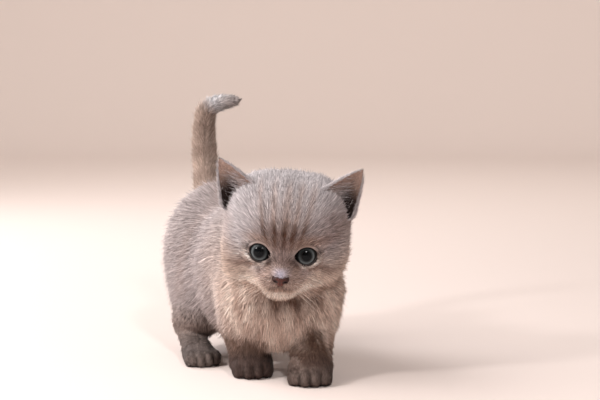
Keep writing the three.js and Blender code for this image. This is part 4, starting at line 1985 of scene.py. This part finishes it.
class Coat:
    """Hair over the whole skin, in pieces."""

    seen = 0.5  # how far along a hair the pattern is read
    lowest = 0.35  # height over the floor where hair begins
    patchy = 0.18  # how much the length varies from place to place
    guard_length = 1.3  # a guard hair's length beside a plain one
    guard_rise = 1.6  # height of a guard hair's tip over the coat's depth
    plain_rise = 1.15  # and of a plain one's
    collar = 0.45  # how much shorter the trunk's hair is beside the head
    back_from, rump_from = 24, 66  # where the trunk's regions begin, behind the chest
    nape_from = -3  # forward place in the head behind which the nape begins
    face_middle = (0, 24, -6)  # middle of the face's short hair, in the head
    face_reach = 18.5
    face_lock = Lock(sunk=0.2, clump=0.15, lift=0.06, stray=0.14, tone=0.36)
    head_lock = Lock(stray=0.1, clump=0.25, clump_cell=2.0)
    paw_lock = Lock(sunk=0.2, clump=0.35, lift=0.1, stray=0.22, clump_cell=2.0)
    ear_lock = Lock(clump=0.2, stray=0.2, sunk=0.1, clump_cell=1.6)
    growths = {
        "face": Growth("coat_face", "face_coat", 11.5, 1.9, 1.25, 0.105, 0.03, 0.06, face_lock),
        "head": Growth("coat_head", "face_coat", 5.4, 1.8, 3.0, 0.18, 0.1, 0.08, head_lock),
        "nape": Growth("coat_nape", "face_coat", 4.4, 1.8, 3.4, 0.2, 0.1, 0.1),
        "front": Growth("coat_front", "body_coat", 4.0, 1.75, 5.0, 0.22, 0.1),
        "back": Growth("coat_back", "body_coat", 2.9, 1.75, 5.0, 0.25, 0.1),
        "rump": Growth("coat_rump", "body_coat", 2.7, 1.75, 5.0, 0.25, 0.1),
        "fore": Growth("coat_forelegs", "leg_coat", 4.8, 1.8, 3.2, 0.19, 0.08),
        "hind": Growth("coat_hindlegs", "leg_coat", 4.0, 1.8, 3.2, 0.2, 0.08),
        "paws": Growth("coat_paws", "paw_coat", 7.0, 3.2, 2.9, 0.16, 0.1, lock=paw_lock),
        "tail": Growth("coat_tail", "tail_coat", 6.0, 1.75, 2.5, 0.18, 0.12),
    }

    def __init__(self, kitten: Kitten, points: Array, quads: Array, normals: Array) -> None:
        """Takes the skin's mesh and measures its quads.

        Args:
            kitten: the shape.
            points: corners.
            quads: faces.
            normals: at the corners.
        """
        self.kitten, self.points, self.quads, self.normals = kitten, points, quads, normals
        self.rng = np.random.default_rng(SEED)
        self.markings = Markings()
        corner = points[quads]
        self.middle = corner.mean(1)
        first = np.cross(corner[:, 1] - corner[:, 0], corner[:, 2] - corner[:, 0])
        second = np.cross(corner[:, 2] - corner[:, 0], corner[:, 3] - corner[:, 0])
        self.area = (np.linalg.norm(first, axis=1) + np.linalg.norm(second, axis=1)) / 2
        self.depth = np.clip(-kitten.outline.distance(self.middle), 0.5, 6.5)
        self.region = self._regions()

    def _regions(self) -> Array:
        """Divides the skin.

        Returns:
            The name of the growth at each quad.
        """
        part, kinds = self.kitten.parts(self.middle)
        local = HEAD.inward(self.middle)
        names = np.full(len(part), "front", dtype=object)
        y = self.middle[:, 1]
        trunk = part == kinds.index(Part.TRUNK)
        names[trunk & (y > self.back_from)] = "back"
        names[trunk & (y > self.rump_from)] = "rump"
        names[part == kinds.index(Part.FORELEG)] = "fore"
        names[part == kinds.index(Part.HIND_LEG)] = "hind"
        names[part == kinds.index(Part.PAW)] = "paws"
        names[part == kinds.index(Part.TAIL)] = "tail"
        head = part == kinds.index(Part.HEAD)
        names[head] = "head"
        names[head & (local[:, 1] < self.nape_from)] = "nape"
        gap = (local - np.array(self.face_middle)) * np.array([0.85, 1, 1])
        names[head & (np.linalg.norm(gap, axis=1) < self.face_reach)] = "face"
        return names

    @staticmethod
    def _trunk_flow(points: Array) -> Array:
        """Backwards and down over the flanks, straight down the chest."""
        front = ease(14, -10, points[:, 1])[:, None]
        flow = np.array(BACKWARDS) * (1 - front) + np.array([0.0, 0.05, -1.0]) * front
        flow[:, 0] += np.clip(points[:, 0] / 25, -1, 1) * 0.15
        return flow

    @staticmethod
    def _clear_of_eyes(flow: Array, points: Array) -> Array:
        """Turns hair beside an eye so that none lies across it.

        Args:
            flow: the lie so far.
            points: roots.

        Returns:
            The new lie.
        """
        local = HEAD.inward(points)
        sides = np.where(local[:, :1] < 0, -1.0, 1.0)
        eye, reach = EyeAxes.beside(local)
        spoke = unit(eye * np.array([1.0, 1.0, 0.0]))
        outward = EyeAxes.axes.heading(spoke)
        outward[:, :1] *= sides
        outward = HEAD.heading(outward)
        near = ease(4.0, 0.8, reach) * (np.linalg.norm(eye, axis=1) < 16)
        lack = np.maximum(0.25 - dot(unit(flow), outward), 0.0) * near
        return unit(flow) + outward * lack[:, None]

    def _flow(self, name: str, points: Array, normals: Array) -> Array:
        """The lie of the hair.

        Args:
            name: the growth.
            points: roots.
            normals: the skin's normals there.

        Returns:
            Unit directions along the skin.
        """
        down = np.array(DOWN)
        if name in ("face", "head", "nape"):
            local = HEAD.inward(points)
            away = unit(local - np.array([0.0, 31.0, -7.0]))
            away[:, 2] += ease(-4, 8, local[:, 2]) * ease(16, 4, np.abs(local[:, 0])) * 0.5
            away[:, 1] -= 0.35
            behind = ease(0, -16, local[:, 1])[:, None]
            flow = HEAD.heading(away) * (1 - behind) + np.array(BACKWARDS) * behind
            throat = ease(-25, -36, local[:, 2])[:, None]
            flow = self._clear_of_eyes(flow * (1 - throat) + down * throat, points)
        elif name == "tail":
            flow, _ = self.kitten.tail.lie(points)
        elif name == "paws":
            gaps = [np.linalg.norm(points[:, :2] - np.array(paw.place), axis=1) for paw in PAWS.values()]
            near = np.argmin(gaps, axis=0)
            ahead = np.array([paw.axes.matrix[:, 1] for paw in PAWS.values()])[near]
            low = ease(15, 8, points[:, 2])[:, None]
            flow = ahead * (0.15 + 0.85 * low) + down * (1 - 0.45 * low)
        elif name in ("fore", "hind"):
            high = ease(26, 46, points[:, 2])[:, None]
            flow = np.array([0.0, 0.25, -1.0]) * (1 - high) + self._trunk_flow(points) * high
        else:
            flow = self._trunk_flow(points)
        sway = self.growths[name].sway * ripples(points, 15.0, SEED + 7, 2)
        flow = flat_to(flow, normals)
        return unit(flow + np.cross(normals, flow) * sway[:, None])

    def _unwrap(self, name: str, points: Array) -> Array:
        """Rolls the part out flat, round and along it.

        The head is a globe about its own middle, the trunk, legs and tail are rolled out about their
        lengths, and each paw or leg has its own quarter.

        Args:
            name: the growth.
            points: roots.

        Returns:
            Places from 0 to 1.
        """
        if name in ("face", "head", "nape"):
            local = HEAD.inward(points)
            reach = np.linalg.norm(local, axis=1)
            flat = np.column_stack([
                np.arctan2(local[:, 0], local[:, 1]) / (2 * math.pi) + 0.5,
                np.arccos(np.clip(local[:, 2] / reach, -1, 1)) / math.pi,
            ])
        elif name == "tail":
            heading, along = self.kitten.tail.lie(points)
            middle, _ = self.kitten.tail.curve()
            spoke = points - middle[np.round(along * (len(middle) - 1)).astype(int)]
            over = np.cross(heading, (1.0, 0.0, 0.0))
            flat = np.column_stack([np.arctan2(spoke[:, 0], dot(spoke, over)) / (2 * math.pi) + 0.5, along])
        elif name in ("fore", "hind", "paws"):
            places = np.array([paw.place for paw in PAWS.values()])
            gaps = np.hypot(points[:, :1] - places[:, 0], (points[:, 1:2] - places[:, 1]) * 0.6)
            near = np.argmin(gaps, axis=1)
            spoke = points[:, :2] - places[near]
            turns = np.arctan2(spoke[:, 0], spoke[:, 1]) / (2 * math.pi) + 0.5
            flat = np.column_stack([(near + 0.04 + 0.92 * turns) / len(places), points[:, 2]])
        else:
            turns = np.arctan2(points[:, 0], points[:, 2] - 50.0) / (2 * math.pi) + 0.5
            flat = np.column_stack([turns, points[:, 1] + 0.3 * np.abs(points[:, 2] - 50.0)])
        low, high = flat.min(0), flat.max(0)
        return (flat - low) / (high - low)

    def _roots(self, name: str, growth: Growth) -> Roots:
        """Scatters roots evenly over a region's quads, with the guard hairs last.

        Args:
            name: the region.
            growth: how its hair grows.

        Returns:
            The roots.
        """
        quads = np.nonzero((self.region == name) & (self.middle[:, 2] > self.lowest))[0]
        total = np.concatenate([[0.0], np.cumsum(self.area[quads])])
        plain = int(total[-1] * growth.density)
        count = int(plain * (1 + growth.guards))
        spots = np.concatenate(
            [(np.arange(n) + self.rng.uniform(0, 1, n)) / n * total[-1] for n in (plain, count - plain)]
        )
        chosen = quads[np.searchsorted(total, spots, side="right").clip(1, len(quads)) - 1]
        u, v = self.rng.uniform(0, 1, (2, count, 1))
        corner = self.quads[chosen]
        shares = ((1 - u) * (1 - v), u * (1 - v), u * v, (1 - u) * v)
        points = sum(self.points[corner[:, i]] * share for i, share in enumerate(shares))
        normals = unit(sum(self.normals[corner[:, i]] * share for i, share in enumerate(shares)))
        depth = self.depth[chosen]
        length = np.maximum(depth * growth.stretch, growth.shortest)
        length = length * (1 + self.patchy * ripples(points, 9.0, SEED + 5, 2))
        guard = np.arange(count) >= plain
        length = length * np.where(guard, self.guard_length, 1.0)
        if name in ("front", "back"):
            beside = ease(18.0, 2.0, Head().outline().distance(points)) * ease(6.2, 4.8, depth)
            length = length * (1 - self.collar * beside)
        roots = Roots(
            points, normals, self._flow(name, points, normals), length,
            depth / length * np.where(guard, self.guard_rise, self.plain_rise),
            growth.width * self.rng.uniform(0.7, 1.3, count) * np.clip(length / growth.shortest, 0.8, 1.3),
            self._unwrap(name, points),
        )
        return roots.kept(self._free(points))

    @staticmethod
    def _free(points: Array) -> Array:
        """Keeps hair off the eyes, the nose leather and the lips.

        Args:
            points: roots.

        Returns:
            Whether each is clear of them.
        """
        local = HEAD.inward(points)
        side, height = np.abs(local[:, 0]), local[:, 2]
        eye, reach = EyeAxes.beside(local)
        clear = (reach > 0.85) | (eye[:, 2] < 2.0) | (np.linalg.norm(eye, axis=1) > 14)
        clear &= Nose().mass().distance(local) > 0.15
        lips = (np.abs(height - lip_line(side)) < 0.75) & (side < 7.5) & (local[:, 1] > 22)
        groove = (side < 0.9) & (height > -16.1) & (height < -12.3) & (local[:, 1] > 24)
        return clear & ~lips & ~groove

    def build(self) -> None:
        """Makes all the coat's pieces, the ears' last."""
        slots = dict.fromkeys(growth.slot for growth in self.growths.values())
        finishes = {slot: CoatFinish(slot).material() for slot in slots}
        for name, growth in self.growths.items():
            roots = self._roots(name, growth)
            seen = roots.points + roots.flow * (self.seen * roots.length)[:, None]
            shell = growth.lock.solid(growth.piece, roots, self.markings.colour(seen), self.rng)
            shell.make(finishes[growth.slot], growth.slot)
        self._ears()

    def _ear_roots(self, side: Side, hair: EarHair) -> tuple[Roots, Array]:
        """One kind of hair on one ear.

        Args:
            side: which ear.
            hair: the kind.

        Returns:
            The roots, and a linear colour for each.
        """
        ear, count, reach = Ear(side), hair.count, 0.02
        low, high = hair.across
        across = self.rng.uniform(low, high, count)
        if hair.edge:
            across = across * np.where(self.rng.uniform(size=count) < 0.5, -1.0, 1.0)
        low, high = hair.up
        up = high - (high - low) * np.sqrt(self.rng.uniform(0, 1, count))
        points = ear.place(across, up, hair.face)
        beyond = ear.place(np.minimum(across + reach, 1), up, hair.face)
        rightwards = unit(beyond - ear.place(np.maximum(across - reach, -1), up, hair.face))
        upwards = unit(ear.place(across, up + reach, hair.face) - points)
        ahead = np.tile(HEAD.matrix[:, 1] * hair.face, (count, 1))
        normals = unit(np.cross(rightwards, upwards))
        normals = normals * np.where(dot(normals, ahead) < 0, -1.0, 1.0)[:, None]
        if hair.edge:
            spread = self.rng.uniform(-0.6, 0.6, (count, 1))
            normals = unit(rightwards * np.sign(across)[:, None] + normals * spread)
        flow = flat_to(upwards + rightwards * hair.lean, normals)
        length = hair.length * (1 - 0.3 * up) * self.rng.uniform(0.7, 1.2, count)
        column = 0.5 * (side is Side.LEFT) + 0.25 + 0.23 * across
        row = 0.5 * (hair.face > 0) + 0.02 + 0.46 * np.clip(up, 0, 1)
        rise = hair.rise * self.rng.uniform(0.7, 1.3, count)
        width, unwrap = np.full(count, hair.width), np.column_stack([column, row])
        roots = Roots(points, normals, flow, length, rise, width, unwrap)
        share = self.rng.uniform(0, 1, (count, 1)) ** hair.paleness
        shade = Ear.colour(across, up, np.full(count, hair.face))
        return roots, shade * (1 - share) + np.array(Shade.EAR_RIM) * share

    def _ears(self) -> None:
        """The hair of both ears, as one piece."""
        made = [self._ear_roots(side, hair) for side in Side for hair in EAR_HAIRS]
        merged = {key: np.concatenate([vars(roots)[key] for roots, _ in made]) for key in vars(made[0][0])}
        colour = np.vstack([shade for _, shade in made])
        shell = self.ear_lock.solid("coat_ears", Roots(**merged), colour, self.rng)
        shell.make(CoatFinish("ear_coat").material(), "ear_skin")


class Body:
    """The skin with everything that grows on it."""

    flesh = (
        "head", "neck", "chest", "belly", "rump",
        *(
            f"{part}_{side.label}"
            for part in ("foreleg", "thigh", "hock", "forepaw", "hindpaw")
            for side in Side
        ),
        "tail_base", "tail_middle", "tail_tip",
    )
    step, quick_step = 1.4, 1.9  # spacing of the skin's grid
    face_step, quick_face_step = 0.54, 0.9

    def __init__(self) -> None:
        """Works the shape out."""
        self.kitten = Kitten()

    def _face_box(self) -> Box:
        """The box round the face in the kitten's axes, where the grid is finer."""
        corners = np.array(list(product((-17.5, 17.5), (14, 33), (-25, 8))), float)
        world = HEAD.outward(corners)
        step = self.face_step
        return Box(tuple(world.min(0)), tuple(world.max(0)), step)

    def build(self) -> tuple[Array, Array, Array]:
        """Meshes and dresses the skin.

        Returns:
            Its corners, quads and normals.
        """
        step = self.step
        room = Box((-42.0, -44.0, -1.5), (40.0, 132.0, 156.0), step)
        grounded = Carved(self.kitten.skin, ((Floor(), 0.4),))
        points, quads = SurfaceNets(room, self._face_box()).build(grounded)
        normals = corner_normals(points, quads)
        shell = Shell("skin", points, quads, Markings().colour(points))
        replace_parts(shell.make(SkinFinish().material(), "body_coat"), *self.flesh)
        return points, quads, normals


@dataclass(frozen=True)
class Floor(Mass):
    """Everything below the floor."""

    level: float = 0.05

    def distance(self, points: Array) -> Array:
        """Height over the floor."""
        return points[:, 2] - self.level


# Studio


@dataclass(frozen=True)
class Lamp:
    """A square softbox: where it stands from the kitten in the camera's right, near and up, in metres."""

    name: str
    right: float
    near: float
    up: float
    size: float
    power: float
    colour: Vec
    outward: bool = False  # whether it faces the wall behind, not the kitten


class Studio:
    """Camera, lamps, floor and backdrop."""

    target = np.array([0.0, 20.0, 70.0])
    floor_shade: Vec = (0.82, 0.72, 0.68)
    world_shade: Vec = (1.0, 0.93, 0.88)
    world_strength = 0.3
    lamps = (
        Lamp("key", -0.9, 0.32, 0.9, 0.9, 14.2, (1.0, 0.96, 0.93)),
        Lamp("window_left", -0.7, 0.46, 0.44, 0.1, 3.6, (1.0, 0.98, 0.97)),
        Lamp("window_right", 0.19, 0.76, 0.53, 0.1, 3.2, (1.0, 0.98, 0.97)),
        Lamp("rim", -0.8, -0.6, 0.55, 0.5, 6.0, (0.96, 0.97, 1.0)),
        Lamp("fill", 0.95, 0.45, 0.45, 0.9, 0.6, (1.0, 0.92, 0.84)),
        Lamp("backdrop", 0.0, -0.9, 1.7, 1.4, 24.0, (1.0, 0.93, 0.86), outward=True),
    )
    wall_aim = (1500.0, -900.0)  # how far on and up the backdrop's lamp aims, in millimetres
    camera_right, camera_near, camera_height = 10.0, 725.0, 160.5
    dip_pixels = 115.7  # how far over the picture's middle the horizon lies
    focal_pixels = 1330.0
    picture_width = 600.0
    sensor = 36.0
    floor_radius = 2.2  # metres from the middle to where the floor turns up
    wall_height = 2.0
    floor_columns = 96

    def __init__(self) -> None:
        """Works out the camera's right and the level way from it to the kitten."""
        angle = math.radians(SIGHT_LINE)
        self.right = np.array([math.cos(angle), -math.sin(angle), 0.0])
        self.away = np.array([math.sin(angle), math.cos(angle), 0.0])
        self.up = np.array([0.0, 0.0, 1.0])

    @staticmethod
    def _metres(point: Array) -> Vector:
        """A point of the kitten in the frame, in metres."""
        return Vector((point + np.array(FRAME_SHIFT)) * MM)

    def camera(self) -> None:
        """The photo's camera: 0.73 m away, looking down a little."""
        data = bpy.data.cameras.new("camera")
        data.sensor_width = self.sensor
        data.lens = self.focal_pixels / self.picture_width * self.sensor
        data.clip_start = 0.01
        made = bpy.data.objects.new("camera", data)
        side, level = self.camera_right * self.right, self.camera_near * self.away
        made.location = self._metres(side - level + self.camera_height * self.up)
        dip = math.atan(self.dip_pixels / self.focal_pixels)
        sight = Vector(self.away * math.cos(dip) - self.up * math.sin(dip))
        made.rotation_mode = "QUATERNION"
        made.rotation_quaternion = sight.to_track_quat("-Z", "Y")
        bpy.context.scene.collection.objects.link(made)
        bpy.context.scene.camera = made

    def lights(self) -> None:
        """Soft light from the left and above, a cool edge from behind and a warm fill."""
        for lamp in self.lamps:
            data = bpy.data.lights.new(lamp.name, "AREA")
            data.size, data.energy, data.color = lamp.size, lamp.power, lamp.colour
            made = bpy.data.objects.new(lamp.name, data)
            offset = (lamp.right * self.right - lamp.near * self.away + lamp.up * self.up) / MM
            made.location = self._metres(self.target + offset)
            made.rotation_mode = "QUATERNION"
            wall = self.away * self.wall_aim[0] + self.up * self.wall_aim[1]
            aim = wall if lamp.outward else -offset
            made.rotation_quaternion = Vector(aim).to_track_quat("-Z", "Y")
            bpy.context.scene.collection.objects.link(made)

    def surroundings(self) -> None:
        """A pale round floor that curves up into a wall at its edge, and an even sky."""
        edge = self.floor_radius
        radius = np.concatenate([np.linspace(0.002, edge, 8), edge + np.linspace(0.1, 1.0, 12)])
        past = np.clip(radius - edge, 0.0, 1.0)
        height = (1 - np.sqrt(1 - past**2)) * self.wall_height
        turns = circle(self.floor_columns)
        ring = np.column_stack([np.cos(turns), np.sin(turns)])
        rows = [np.column_stack([ring * r, np.full(len(turns), h)]) for r, h in zip(radius, height)]
        places = np.concatenate(rows) / MM - np.array(FRAME_SHIFT)
        shell = Shell("floor", places, lathe_grid(len(radius), len(turns)))
        finish = Sheet("floor").dress(base_color=self.floor_shade, roughness=0.6, specular_ior_level=0.2)
        shell.form(finish)
        world = bpy.data.worlds.new("studio")
        world.use_nodes = True
        sky = world.node_tree.nodes["Background"]
        sky.inputs["Color"].default_value = (*self.world_shade, 1.0)
        sky.inputs["Strength"].default_value = self.world_strength
        bpy.context.scene.world = world

    def build(self) -> None:
        """Everything round the kitten."""
        self.camera()
        self.lights()
        self.surroundings()
        bpy.context.scene.view_settings.view_transform = "Standard"


def main() -> None:
    """Builds the kitten and its studio; each piece's corners and faces go to the log."""
    body = Body()
    points, quads, normals = body.build()
    leather = LeatherFinish().material()
    eye, skin = EyeFinish().material(), CoatFinish("ear_leather", roughness=0.6).material()
    for side in Side:
        Eye(side).ball(eye)
        Eye(side).lids(leather)
        Ear(side).build(skin)
    Nose().build(leather)
    Whiskers().build(CoatFinish("whisker", roughness=0.4).material(), np.random.default_rng(SEED))
    Coat(body.kitten, points, quads, normals).build()
    Studio().build()


if __name__ == "__main__":
    logging.basicConfig(level=logging.INFO, format="%(name)s: %(message)s")
    main()
